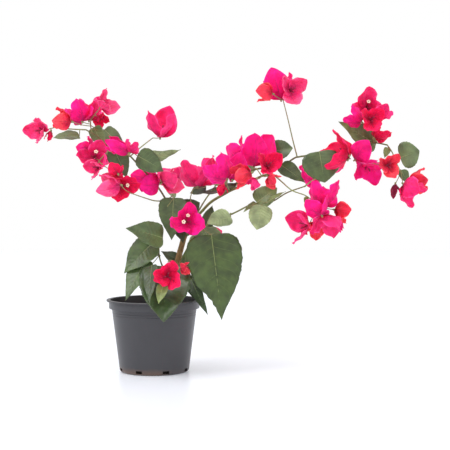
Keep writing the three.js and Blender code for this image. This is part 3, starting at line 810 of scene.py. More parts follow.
@dataclass(frozen=True)
class Trunk(Limb):
    """The short old stem: flared at the compost, ribbed, and cracked along its length."""

    skin: Finish = BARK
    slot: str = "bark"
    sides: int = 48
    step: float = 0.6
    flare: float = 0.75
    flare_reach: float = 7.0
    ribs: int = 5
    rib_depth: float = 0.14
    crack_depth: float = 0.34
    cracks: Pair = (2.6, 9.0)  # round it and along it
    plates: tuple[Pair, ...] = ((1.6, 1.0), (4.1, 0.5))  # how close, how high
    knots: tuple[Pair, ...] = ((0.3, 0.6), (0.52, 2.9), (0.74, 4.6))
    knot_depth: float = 0.5
    knot_reach: float = 0.025

    def radius(self, path: Path, share: float, angle: float) -> float:
        """Gives the trunk's radius.

        Args:
            path: the line of its heart.
            share: the share of its length.
            angle: the angle round it.

        Returns:
            The radius in metres, with its flare, ribs, knots and cracked bark.
        """
        base = mix(self.foot, self.tip, share)
        flare = self.flare * math.exp(-share * path.length / (self.flare_reach * MM))
        base *= (1 + flare) * (1 + self.rib_depth * math.cos(self.ribs * angle) * flare)
        for height, heading in self.knots:
            knot = self.knot_depth * hump((share - height) / self.knot_reach, 1.0)
            base += knot * max(math.cos(angle - heading), 0.0) ** 3
        wide, high = self.cracks
        spot = Vector((wide * math.cos(angle), wide * math.sin(angle), share * high))
        return (base + self.crack_depth * rough(spot, self.plates)) * MM


# ---- what the sprays bear --------------------------------------------------------------
@dataclass(frozen=True)
class Blade:
    """A thin blade: how it is laid out, and how finely it is drawn."""

    long: float
    half: Callable[[float], float]
    place: Callable[[float, float, float], Vector]
    thick: float
    rows: int
    columns: int
    wave: float
    phase: float
    quilt: float = 0.0
    pairs: float = 6.0
    waves: float = 2.6
    skew: float = 1.3
    slant: float = 0.22
    narrowest: float = 0.12
    rim: float = 0.6
    inset: float = 0.004  # the share of the length left off at each end
    rib_steps: int = 24
    vein_steps: int = 12

    def spot(self, share: float, side: float, lift: float) -> Vector:
        """Finds a point of the blade.

        Args:
            share: the share of its length.
            side: the share of its half width, from -1 to 1.
            lift: millimetres above its middle.

        Returns:
            The point, in metres.
        """
        ripple = self.wave * self.long * side * side
        ripple *= math.sin(TURN * (self.waves * share + self.phase) + self.skew * side)
        pillow = math.sin(math.pi * (share - self.slant * abs(side)) * self.pairs) ** 2
        ripple += self.quilt * self.long * pillow * (1 - side * side) * math.sin(math.pi * share)
        return self.place(share, side * max(self.half(share), self.narrowest), lift + ripple) * MM

    def sheets(self, skin: Skin, top: int, under: int) -> None:
        """Adds the blade's two faces and its thin rim.

        Args:
            skin: the piece it is part of.
            top: the finish of its face.
            under: the finish of its back.
        """
        span = 1 - 2 * self.inset
        shares = [self.inset + span * row / self.rows for row in range(self.rows + 1)]
        sides = [2 * column / self.columns - 1 for column in range(self.columns + 1)]

        def layer(sign: float) -> list[list[Vector]]:
            """Returns the points of one face."""
            lifts = [sign * self.thick / 2 * (1 - self.rim * side * side) for side in sides]
            return [[self.spot(share, *at) for at in zip(sides, lifts)] for share in shares]

        upper = skin.sheet(layer(1.0), top)
        lower = skin.sheet(layer(-1.0), under, flip=True)
        around = [(row, 0) for row in range(self.rows, 0, -1)]
        around += [(0, column) for column in range(self.columns)]
        around += [(self.rows - row, self.columns - column) for row, column in around]
        for (r0, c0), (r1, c1) in pairwise([*around, around[0]]):
            skin.face((upper[r0][c0], lower[r0][c0], lower[r1][c1], upper[r1][c1]), under)

    def cord(
        self, skin: Skin, ends: Pair, spread: float, radii: Pair, finish: int, sides: int = 5
    ) -> None:
        """Adds one vein.

        Args:
            skin: the piece it is part of.
            ends: the shares of the length where it starts and stops.
            spread: the share of the half width that it reaches, signed.
            radii: its radius at start and stop, in millimetres.
            finish: its finish.
            sides: how many points round it.
        """
        count = self.vein_steps if spread else self.rib_steps
        line = [
            self.spot(mix(*ends, step / count), spread * math.sin(step / count * math.pi / 2), 0.0)
            for step in range(count + 1)
        ]
        skin.tube(line, lambda share, _: mix(*radii, share) * MM, sides, finish)


@dataclass(frozen=True)
class Leaf:
    """One leaf: where its blade begins, its heading and pitch, its size and its kind."""

    at: Triple
    aim: Pair
    long: float
    wide: float
    turn: float
    kind: Kind

    large: float = 50.0  # the length from which it is drawn more finely
    swell: float = 0.42
    slim: Pair = (0.6, 1.05)
    rounded: Pair = (1.0, 0.6)
    channel: float = 0.16
    arch: float = 0.09
    lobe: float = 0.1
    drawn: float = 0.55
    ragged: float = 0.014
    bitten: float = 0.34
    bite_from: float = 0.6
    teeth: float = 12.0
    tooth: float = 0.2
    notches: tuple[Triple, ...] = ((9.0, 1.0, 0.0), (23.0, 0.7, 1.3))  # how many, how deep, from
    late: Pair = (6, 4)  # how late the tip is drawn out, on a small leaf and a large one
    full: float = 0.74
    vein_pairs: int = 6
    veined: float = 0.66
    first_vein: float = 0.03
    last_vein: float = 0.94
    midrib: Pair = (0.0, 0.96)
    rib_tip: float = 0.14
    vein_tip: float = 0.2
    vein_share: float = 0.7  # of the midrib's radius
    vein_long: float = 0.2
    vein_spread: float = 0.05
    vein_reach: float = 0.9
    rib_radii: Pair = (0.42, 0.85)
    longest: float = 110.0  # the length at which the midrib is stoutest
    wave: float = 0.014
    quilt: float = 0.009
    coarse: Triple = (0.45, 30, 12)  # thickness, rows and columns
    fine: Triple = (0.6, 48, 20)

    def taper(self) -> float:
        """Works out its shape from its width for its length.

        Returns:
            How slowly it narrows to the tip: slim leaves soon, and round ones late.
        """
        part = (self.wide / self.long - self.slim[0]) / (self.rounded[0] - self.slim[0])
        usual = mix(self.slim[1], self.rounded[1], min(max(part, 0.0), 1.0))
        return self.full if self.kind is BIG else usual

    def blade(self, random: Random) -> Blade:
        """Lays out the blade.

        Args:
            random: the spray's stream of numbers.

        Returns:
            The blade.
        """
        direction = along(*self.aim)
        side = turned(along(self.aim[0] + 90, 0), direction, self.turn)
        face = direction.cross(side)
        base = Vector(self.at)
        bitten = self.bitten if self.kind is GREAT else 0.0
        plain = outline(self.wide, self.swell, self.taper())
        large = self.long > self.large

        def place(share: float, across: float, lift: float) -> Vector:
            """Returns a point of the blade, in millimetres."""
            if across < 0 and share > self.bite_from:
                teeth = 1 - self.tooth + self.tooth * math.sin(TURN * self.teeth * share)
                inside = (share - self.bite_from) / (1 - self.bite_from)
                across *= 1 - bitten * teeth * math.sin(math.pi * inside)
            back = self.lobe * self.long * (2 * across / self.wide) ** 2 * (1 - share) ** 2
            rise = self.channel * abs(across) + self.arch * self.long * share * (1 - share)
            spot = base + direction * (self.long * share - back) + side * across
            return spot + face * (rise + lift)

        def half(share: float) -> float:
            """Returns the half width, with its drawn-out tip and faintly notched edge."""
            turn = TURN * share
            notch = sum(deep * math.sin(turn * many + at) for many, deep, at in self.notches)
            tip = 1 - self.drawn * share ** self.late[large]
            return plain(share) * tip * (1 + self.ragged * notch)

        drawn = self.fine if large else self.coarse
        pairs = self.vein_pairs / self.veined
        return Blade(self.long, half, place, *drawn, self.wave, random(), self.quilt, pairs)

    def grow(self, skins: dict[str, Skin], random: Random, detail: Random) -> None:
        """Adds the leaf with its veins.

        Args:
            skins: the spray's pieces.
            random: the stream that sets the bracts, which a leaf leaves alone.
            detail: the stream that sets what is only drawn here.
        """
        skin = skins["leaves"]
        top, under, rib, vein = (skin.finish(finish) for finish in self.kind.finishes)
        blade = self.blade(detail)
        blade.sheets(skin, top, under)
        thick = mix(*self.rib_radii, min(self.long / self.longest, 1.0))
        fine = (thick * self.vein_share, self.vein_tip)
        blade.cord(skin, self.midrib, 0.0, (thick, self.rib_tip), rib, 6)
        for pair in range(self.vein_pairs):
            start = self.first_vein + self.veined * pair / self.vein_pairs
            for spread in (-self.vein_reach, self.vein_reach):
                end = min(start + self.vein_long + self.vein_spread * detail(), self.last_vein)
                blade.cord(skin, (start, end), spread, fine, vein)


@dataclass(frozen=True)
class Bloom:
    """Three bracts round three slender florets.

    Its place is where the bracts meet, "aim" its heading and pitch, "opened" how far the
    bracts lean out from that line, "roll" turns the first of them about it, and "stars"
    is how many of its florets have opened.
    """

    at: Triple
    aim: Pair
    size: float
    opened: float
    roll: float
    tint: Tint
    stars: int = 0

    width_share: float = 0.94
    flat_at: float = 34.0
    folded: float = 0.5
    swell: float = 0.5
    taper: float = 0.78
    cup: float = 0.3
    bulge: float = 0.15
    lap_turn: float = 20.0
    roll_spread: float = 12.0
    open_spread: float = 8.0
    shortest: float = 0.9
    longest: float = 1.06
    calyx: float = 2.0
    thick: float = 0.32
    crumple: float = 0.11
    # The streaks make the edge of the painted shade towards the heart ragged.
    streak: float = 0.16
    streak_across: float = 4.5
    creases: Pair = (3.1, 5.3)  # along the bract and across it
    shuffle: Triple = (17, 9, 31)  # sets the noise of one bract off from the next
    # How far the painted shade of the heart draws back from the bract's edges.
    edge_depth: float = 0.2
    rows: int = 22
    columns: int = 14
    wave: float = 0.04
    lots: Triple = (1.0, 0.94, 1.05)  # the tone of each bract
    # Painted light: the rim's paler tone is a painted highlight along the edges, and each deeper
    # tone is painted shade towards the bloom's heart, given by how far it reaches and its share of
    # the colour.
    rim: float = 1.1
    painted_shade_depths: tuple[Pair, ...] = ((0.5, 0.96), (0.38, 0.91), (0.25, 0.82))
    midrib: Pair = (0.0, 0.94)
    midrib_radii: Pair = (0.48, 0.12)
    veins: tuple[Triple, ...] = ((0.02, 0.55, 0.74), (0.08, 0.78, 0.62), (0.3, 0.88, 0.5))
    vein_radii: Pair = (0.36, 0.1)
    neck: Pair = (2.2, 1.4)  # below and above the place where the bracts meet
    neck_radii: Pair = (1.0, 1.7)
    floret_foot: Pair = (0.8, 0.6)  # forwards and outwards
    floret_lean: Pair = (0.93, 0.36)
    floret_ribs: int = 5
    rib_depth: float = 0.08
    open_floret: Pair = (0.46, 1.2)  # its share of the bract's length, and its mouth
    shut_floret: Pair = (0.36, 0.7)
    waist: tuple[float, ...] = (1.15, 1.2, 1.05, 0.85, 0.7, 0.66, 0.74, 0.95)
    lobes: int = 5
    notched: float = 0.6
    petal: float = 0.25  # the thickness of the star
    throat: float = 0.2
    star_sides: int = 30
    star_rings: tuple[Triple, ...] = (
        (0.5, 0.65, 0.0), (0.9, 1.1, 0.1), (1.1, 1.9, 0.24), (0.9, 2.5, 0.34)
    )  # height, radius and depth of the lobes

    def grow(self, skins: dict[str, Skin], random: Random, detail: Random) -> None:
        """Adds the bloom.

        Args:
            skins: the spray's pieces.
            random: the stream that sets the bracts.
            detail: the stream that sets what is only drawn here.
        """
        blossom, florets = skins["bracts"], skins["florets"]
        axis, across = along(*self.aim), along(self.aim[0] + 90, 0)
        upright = axis.cross(across)
        base = Vector(self.at)
        width = self.width_share * min(max(self.opened / self.flat_at, self.folded), 1.0)
        toned = self.tint.bract.toned
        # The rim's paler tone is a painted highlight, and the deeper tones are painted shade
        # towards the heart.
        painted_rim_and_heart = [blossom.finish(toned(share)) for share in (self.rim, *dict(self.painted_shade_depths).values())]
        cord = blossom.finish(self.tint.vein)
        for index, lot in enumerate(self.lots):
            roll = self.roll + index * 360 / len(self.lots) + self.roll_spread * (random() - 0.5)
            opened = math.radians(self.opened + self.open_spread * (random() - 0.5))
            long = self.size * mix(self.shortest, self.longest, random())
            turn = math.radians(roll)
            radial = across * math.cos(turn) + upright * math.sin(turn)
            direction = axis * math.cos(opened) + radial * math.sin(opened)
            face = axis * math.sin(opened) - radial * math.cos(opened)
            face = turned(face, direction, self.lap_turn)
            tones = [blossom.finish(toned(lot)), *painted_rim_and_heart]
            self.bract(blossom, (direction, face), (long, width * long), tones, cord, detail())
            self.floret(florets, axis, radial, long, index < self.stars)
        below, above = self.neck
        meeting = [(base - axis * below) * MM, (base + axis * above) * MM]
        stalk = florets.finish(STALK_SKIN)
        florets.tube(meeting, lambda share, _: mix(*self.neck_radii, share) * MM, 10, stalk)

    def bract(
        self,
        skin: Skin,
        lie: tuple[Vector, Vector],
        size: Pair,
        tones: list[int],
        cord: int,
        phase: float,
    ) -> None:
        """Adds one bract with its veins.

        Args:
            skin: the piece of bracts.
            lie: the way it points and the way it faces.
            size: its length and its full width.
            tones: the finishes of its skin, its rim with a painted highlight, and its painted
                shade deepening down to the heart.
            cord: the finish of its veins.
            phase: where its ripple starts.
        """
        (direction, face), (long, wide) = lie, size
        (down, over), (one, two, three) = self.creases, self.shuffle
        side = face.cross(direction)
        base = Vector(self.at)

        def place(share: float, across: float, lift: float) -> Vector:
            """Returns a point of the bract, in millimetres."""
            bow = self.bulge * long * math.sin(math.pi * share**0.8)
            fold = self.cup * abs(across) - bow
            crease = Vector((share * down + phase * one, across / long * over, phase * two))
            crumple = self.crumple * long * share * noise.noise(crease)
            spot = base + direction * (long * share + self.calyx / 2) + side * across
            return spot + face * (lift + fold + crumple)

        half = outline(wide, self.swell, self.taper)
        blade = Blade(long, half, place, self.thick, self.rows, self.columns, self.wave, phase)
        first = len(skin.faces)
        blade.sheets(skin, tones[0], tones[0])
        # Painted light and shade: the two edge columns take the rim's painted highlight, and faces
        # nearer the foot and the midrib take ever deeper tones of painted shade, on both faces.
        for number in range(2 * blade.rows * blade.columns):
            row, column = divmod(number % (blade.rows * blade.columns), blade.columns)
            share, across = row / blade.rows, 2 * (column + 0.5) / blade.columns - 1
            spot = Vector((across * self.streak_across, phase * three, share))
            streak = self.streak * noise.noise(spot)
            depth = share + self.edge_depth * abs(across) + streak
            if column in (0, blade.columns - 1):
                skin.finishes[first + number] = tones[1]
            for tone, (reach, _) in zip(tones[2:], self.painted_shade_depths):
                if depth < reach:
                    skin.finishes[first + number] = tone
        blade.cord(skin, self.midrib, 0.0, self.midrib_radii, cord, 4)
        for start, end, spread in self.veins:
            for sign in (-1, 1):
                blade.cord(skin, (start, end), sign * spread, self.vein_radii, cord, 3)

    def floret(
        self, skin: Skin, axis: Vector, radial: Vector, long: float, blooming: bool
    ) -> None:
        """Adds one floret: a slender tube, and its star if it has opened.

        Args:
            skin: the piece of florets.
            axis: the bloom's own line.
            radial: the way towards its bract.
            long: its bract's length.
            blooming: whether its star has opened.
        """
        share_long, mouth = self.open_floret if blooming else self.shut_floret
        reach = long * share_long
        lean = axis * self.floret_lean[0] + radial * self.floret_lean[1]
        foot = Vector(self.at) + axis * self.floret_foot[0] + radial * self.floret_foot[1]
        waist, count = (*self.waist, mouth), len(self.waist)
        line = [(foot + lean * (reach * step / count)) * MM for step in range(count + 1)]

        def radius(share: float, angle: float) -> float:
            """Returns the ribbed radius of the tube."""
            ribs = 1 + self.rib_depth * math.cos(self.floret_ribs * angle)
            return waist[round(share * count)] * ribs * MM

        skin.tube(line, radius, 10, skin.finish(FLORET_TUBE))
        if blooming:
            self.star(skin, line[-1], lean.normalized())

    def star(self, skin: Skin, heart: Vector, way: Vector) -> None:
        """Adds the floret's open star of five notched lobes round a yellow throat.

        Args:
            skin: the piece of florets.
            heart: its middle, in metres.
            way: the way it faces.
        """
        face, throat = skin.finish(FLORET_FACE), skin.finish(FLORET_THROAT)
        across = way.orthogonal().normalized()
        over = way.cross(across)
        rings = []
        for lift, reach, lobed in self.star_rings:
            spots = []
            for angle in (TURN * step / self.star_sides for step in range(self.star_sides)):
                wave = abs(math.cos(self.lobes / 2 * angle))
                far = reach * (1 + lobed * (wave - self.notched)) * MM
                out = across * math.cos(angle) + over * math.sin(angle)
                spots.append(heart + way * lift * MM + out * far)
            rings.append([*spots, spots[0]])
        upper = skin.sheet(rings, face)
        backs = [[spot - way * self.petal * MM for spot in spots] for spots in rings]
        skin.sheet(backs, face, flip=True)
        (middle,) = skin.row([heart + way * self.throat * MM])
        for one, other in pairwise(upper[0]):
            skin.face((middle, one, other), throat)


# The pieces of a spray, each paired with the name of a finish slot.
SLOTS = {
    "twigs": "green_wood",
    "bracts": "blossom",
    "florets": "blossom",
    "leaves": "foliage",
}


@dataclass(frozen=True)
class Spray(Limb):
    """One spray: a slender stem, and the blooms and then the leaves that it bears."""

    foot: float = 0.9
    tip: float = 0.6
    skin: Finish = STALK_SKIN
    sides: int = 8
    step: float = 1.5
    fewest: int = 10
    joint_gap: float = 9.0
    joint_swell: float = 0.2
    joint_reach: float = 0.01
    joint_turn: float = 0.0
    bears: tuple[Bloom | Leaf, ...] = ()
    stalk: Pair = (0.62, 0.5)
    stalk_sag: float = 0.03
    stalk_swell: float = 0.5
    stalk_steps: int = 10
    stalk_sides: int = 7
    places: int = 20  # how many steps of the stem a stalk may start from
    shortest: float = 1.2

    def bear(self, skin: Skin, path: Path, end: Vector) -> None:
        """Adds the thin stalk from the stem to where a bloom or leaf begins.

        Args:
            skin: the piece of twigs.
            path: the spray's stem.
            end: where the bloom or leaf begins, in metres.
        """
        near = min(path.spots(self.places), key=lambda spot: (spot - end).length)
        reach = (end - near).length
        if reach < self.shortest * MM:
            return
        count = self.stalk_steps
        line = [near.lerp(end, step / count) for step in range(count + 1)]
        for step, spot in enumerate(line):
            spot.z -= self.stalk_sag * reach * math.sin(math.pi * step / count)

        def radius(share: float, angle: float) -> float:
            """Returns the stalk's radius, swollen where it meets what it bears."""
            return mix(*self.stalk, share) * (1 + self.stalk_swell * share**8) * MM

        skin.tube(line, radius, self.stalk_sides, skin.finish(self.skin))

    def dress(self) -> None:
        """Grows the spray and ties each of its pieces to its solid."""
        skins = {kind: Skin() for kind in SLOTS}
        streams = seeded(self.name), seeded(self.name + "_detail")
        path = self.grow(skins["twigs"])
        for organ in self.bears:
            self.bear(skins["twigs"], path, Vector(organ.at) * MM)
        for organ in self.bears:
            organ.grow(skins, *streams)
        grown = {kind: skin for kind, skin in skins.items() if skin.points}
        pieces = {kind: skin.build(f"{self.name}_{kind}") for kind, skin in grown.items()}
        for kind, piece in pieces.items():
            dress(piece, SLOTS[kind], self.name)


# ---- the pot and the compost -----------------------------------------------------------
@dataclass(frozen=True)
class Pot:
    """The round nursery pot: a plain taper, a stepped collar and a flat flanged lip."""

    rim_radius: float = 65.0
    lip: float = 2.2
    collar_radius: float = 61.6
    collar_depth: float = 12.0
    shoulder_radius: float = 57.8
    base_radius: float = 46.9
    corner: float = 4.0
    edge: float = 0.6
    height: float = 98.0
    wall: float = 1.5
    floor: float = 2.0
    sides: int = 160
    groove_depth: float = 0.35
    grooves: Pair = (8.0, 4.5)  # below the collar's foot
    groove_shape: tuple[Pair, ...] = ((-0.7, 0.0), (-0.3, 1.0), (0.3, 1.0), (0.7, 0.0))
    slots: int = 8
    slot_size: Triple = (7.0, 9.0, 4.0)
    slot_inset: float = 1.5
    sharp: float = 35.0

    def wall_radius(self, height: float) -> float:
        """Returns the outer radius of the wall at a height."""
        share = height / (self.height - self.collar_depth)
        return mix(self.base_radius, self.shoulder_radius, share)

    def profile(self) -> list[Pair]:
        """Lays out the section of the pot.

        Returns:
            Radius and height of each corner, from the underside round to the inside.
        """
        at, edge, corner = self.wall_radius, self.edge, self.corner
        shoulder, lip_foot = self.height - self.collar_depth, self.height - self.lip
        collar, rim, inside = self.collar_radius, self.rim_radius, self.collar_radius - self.wall
        bends = [math.pi / 2 * step / 8 for step in range(9)]
        foot = [
            (at(corner) - corner * (1 - math.sin(bend)), corner * (1 - math.cos(bend)))
            for bend in bends
        ]
        side = [(at(level), level) for level in range(8, round(shoulder) - 9, 4)]
        levels = [
            (shoulder - below + shift, deep)
            for below in self.grooves
            for shift, deep in self.groove_shape
        ]
        lines = [(at(level) - deep * self.groove_depth, level) for level, deep in levels]
        return [
            (0.0, 0.0),
            (self.base_radius * 0.5, 0.0),
            *foot,
            *side,
            *lines,
            (at(shoulder), shoulder),
            (collar - edge * 1.4, shoulder + 0.1),
            (collar - edge * 0.4, shoulder + edge * 0.5),
            (collar, shoulder + edge * 1.4),
            (collar, lip_foot - 0.5),
            (collar + 0.5, lip_foot),
            (rim - edge, lip_foot),
            (rim - 0.1, lip_foot + edge * 0.5),
            (rim, self.height - edge),
            (rim - edge * 0.4, self.height - 0.15),
            (rim - edge * 1.4, self.height),
            (inside + edge, self.height),
            (inside, self.height - edge),
            (inside - edge, shoulder + self.wall),
            (at(shoulder) - self.wall, shoulder),
            (at(self.floor) - 2 * self.wall, self.floor + 0.6),
            (at(self.floor) - 2.6 * self.wall, self.floor),
            (0.0, self.floor),
        ]

    def build(self) -> bpy.types.Object:
        """Turns the pot and cuts its drain slots.

        Returns:
            The finished piece.
        """
        skin = Skin()
        finish = skin.finish(POT_PLASTIC)
        rings: list[list[int]] = []
        for radius, height in self.profile():
            spots = ring(radius, self.sides, lambda x, y: height)[:-1]
            numbers = skin.row(spots if radius else spots[:1])
            rings.append((numbers if radius else numbers * self.sides) + numbers[:1])
        for near, far in pairwise(rings):
            for (a, b), (c, d) in zip(pairwise(near), pairwise(far)):
                skin.face(tuple(dict.fromkeys((a, b, d, c))), finish)
        piece = skin.build("pot_wall")
        for index in range(self.slots):
            self.cut_slot(piece, (index + 0.5) * TURN / self.slots)
        piece.data.name = piece.name
        piece.data.set_sharp_from_angle(angle=math.radians(self.sharp))
        return piece

    def cut_slot(self, piece: bpy.types.Object, angle: float) -> None:
        """Cuts one drain slot out of the foot of the wall, in place.

        Args:
            piece: the pot.
            angle: how far round it the slot is, in radians.
        """
        deep, wide, tall = self.slot_size
        heart = Vector((self.base_radius - self.slot_inset, 0.0, self.floor + tall / 2))
        corners = [
            Vector((x * deep / 2, y * wide / 2, z * tall / 2)) + heart
            for x in (-1, 1) for y in (-1, 1) for z in (-1, 1)
        ]
        cutter = Skin()
        cutter.row([Matrix.Rotation(angle, 3, "Z") @ corner * MM for corner in corners])
        ends = (0, 1, 3, 2), (4, 6, 7, 5)
        sides = (0, 4, 5, 1), (2, 3, 7, 6), (0, 2, 6, 4), (1, 5, 7, 3)
        for quad in (*ends, *sides):
            cutter.face(quad, 0)
        tool = cutter.build("slot_tool", smooth=False)
        cut = piece.modifiers.new("slot", "BOOLEAN")
        cut.operation, cut.object, cut.solver = "DIFFERENCE", tool, "EXACT"
        graph = bpy.context.evaluated_depsgraph_get()
        done = bpy.data.meshes.new_from_object(piece.evaluated_get(graph))
        piece.modifiers.clear()
        piece.data = done
        bpy.data.objects.remove(tool)

    def dress(self) -> None:
        """Turns the pot and ties it to its solid."""
        dress(self.build(), "pot_plastic", "pot")


@dataclass(frozen=True)
class CompostBed:
    """The fill of the pot: an uneven top of crumbs, sunk a little below the rim."""

    level: float = 86.0
    sunk: float = 1.2
    radius: float = 54.3
    foot: float = 2.3
    foot_radius: float = 41.0
    rings: int = 44
    sides: int = 120
    wall_rings: int = 8
    wall_sides: int = 40
    unevenness: float = 1.3
    crumbs: int = 420
    smallest: float = 0.6
    largest: float = 2.6
    tilt: float = 30.0
    girth: float = 0.55
    lumps: float = 0.12
    crumb_places: tuple[float, ...] = (-0.9, -0.5, 0.0, 0.5, 0.9)
    crumb_girths: tuple[float, ...] = (0.35, 0.75, 0.9, 0.7, 0.3)
    swells: tuple[Pair, ...] = ((0.06, 1.0), (0.3, 0.5), (0.9, 0.3))  # how close, how high

    def top(self, x: float, y: float) -> float:
        """Finds the height of the uneven top.

        Args:
            x: the place to the right of the pot's middle, in millimetres.
            y: the place behind it.

        Returns:
            The height, in millimetres.
        """
        rise = self.unevenness * rough(Vector((x, y, 0.0)), self.swells)
        return self.level - self.sunk + rise

    def dress(self) -> None:
        """Fills the pot and ties the fill to its solid."""
        skin = Skin()
        finish = skin.finish(PEAT)
        radii = [self.radius * step / self.rings for step in range(self.rings + 1)]
        skin.sheet([ring(radius, self.sides, self.top) for radius in radii], finish)
        wall = []
        for share in (step / self.wall_rings for step in range(self.wall_rings + 1)):
            height = mix(self.level - self.sunk, self.foot, share)
            radius = mix(self.radius, self.foot_radius, share)
            wall.append(ring(radius, self.wall_sides, lambda x, y: height))
        skin.sheet(wall, finish)
        random = seeded("compost")
        for _ in range(self.crumbs):
            self.crumb(skin, random, finish)
        dress(skin.build("compost_bed"), "compost", "compost")

    def crumb(self, skin: Skin, random: Random, finish: int) -> None:
        """Adds one crumb that is half sunk in the top.

        Args:
            skin: the piece of compost.
            random: the stream that places the crumbs.
            finish: its finish.
        """
        far = (self.radius - self.largest) * math.sqrt(random())
        angle = TURN * random()
        size = mix(self.smallest, self.largest, random() ** 3)
        x, y = far * math.cos(angle), far * math.sin(angle)
        heart = Vector((x, y, self.top(x, y)))
        way = along(360 * random(), self.tilt * (random() - 0.5))
        line = [(heart + way * (size * share)) * MM for share in self.crumb_places]

        def radius(share: float, turn: float) -> float:
            """Returns the lumpy radius of the crumb."""
            fat = size * self.crumb_girths[round(share * 4)]
            return fat * (self.girth + self.lumps * math.sin(3 * turn + far)) * MM

        skin.tube(line, radius, 6, finish)


# ---- the plant's own sizes -------------------------------------------------------------
LIMBS = (
    Trunk("trunk", ((18, 3, 86.3), (24, 5, 117), (29, 3, 140), (35, 0, 162), (41, -2, 184)),
                   4.6, 3.7),
    Limb("cane_right", ((42, -2, 185), (54, -3, 205), (67, -6, 220), (77, -9, 230),
                        (102, -17, 245)), 2.0, 1.7),
    Limb("cane_right_outer", ((102, -17, 245), (126, -30, 256), (145, -42, 265), (158, -50, 268)),
                             1.7, 1.3),
    Limb("cane_upper", ((102, -16, 246), (113, 4, 257), (128, 26, 271), (148, 40, 277),
                        (172, 44, 279), (195, 46, 292)), 1.4, 1.2),
    Limb("cane_upper_outer", ((195, 46, 292), (236, 42, 299), (270, 36, 308), (303, 36, 312),
                              (321, 34, 309)), 1.2, 1.0),
    Limb("cane_lower", ((43, -4, 184), (64, -18, 195), (83, -26, 206), (106, -36, 215),
                        (131, -46, 228)), 1.2, 1.0),
    Limb("cane_lower_outer", ((131, -46, 228), (157, -48, 231), (178, -46, 243), (203, -44, 252)),
                             1.0, 0.8),
    Limb("cane_left", ((41, -2, 185), (25, 8, 217), (16, 4, 233), (8, -6, 247), (-4, -18, 263),
                       (-29, -34, 291)), 1.4, 1.1),
    Limb("cane_left_outer", ((-29, -34, 291), (-52, -41, 302), (-63, -43, 309), (-73, -44, 318),
                             (-87, -44, 326)), 1.1, 0.85),
    Limb("shoot_low", ((20, 2, 109), (16, -18, 134), (9, -30, 156), (8, -34, 175)), 1.3, 0.9),
    Limb("cane_back", ((35, 0, 161), (48, 34, 194), (68, 62, 232), (92, 80, 264)), 1.3, 0.9),
)
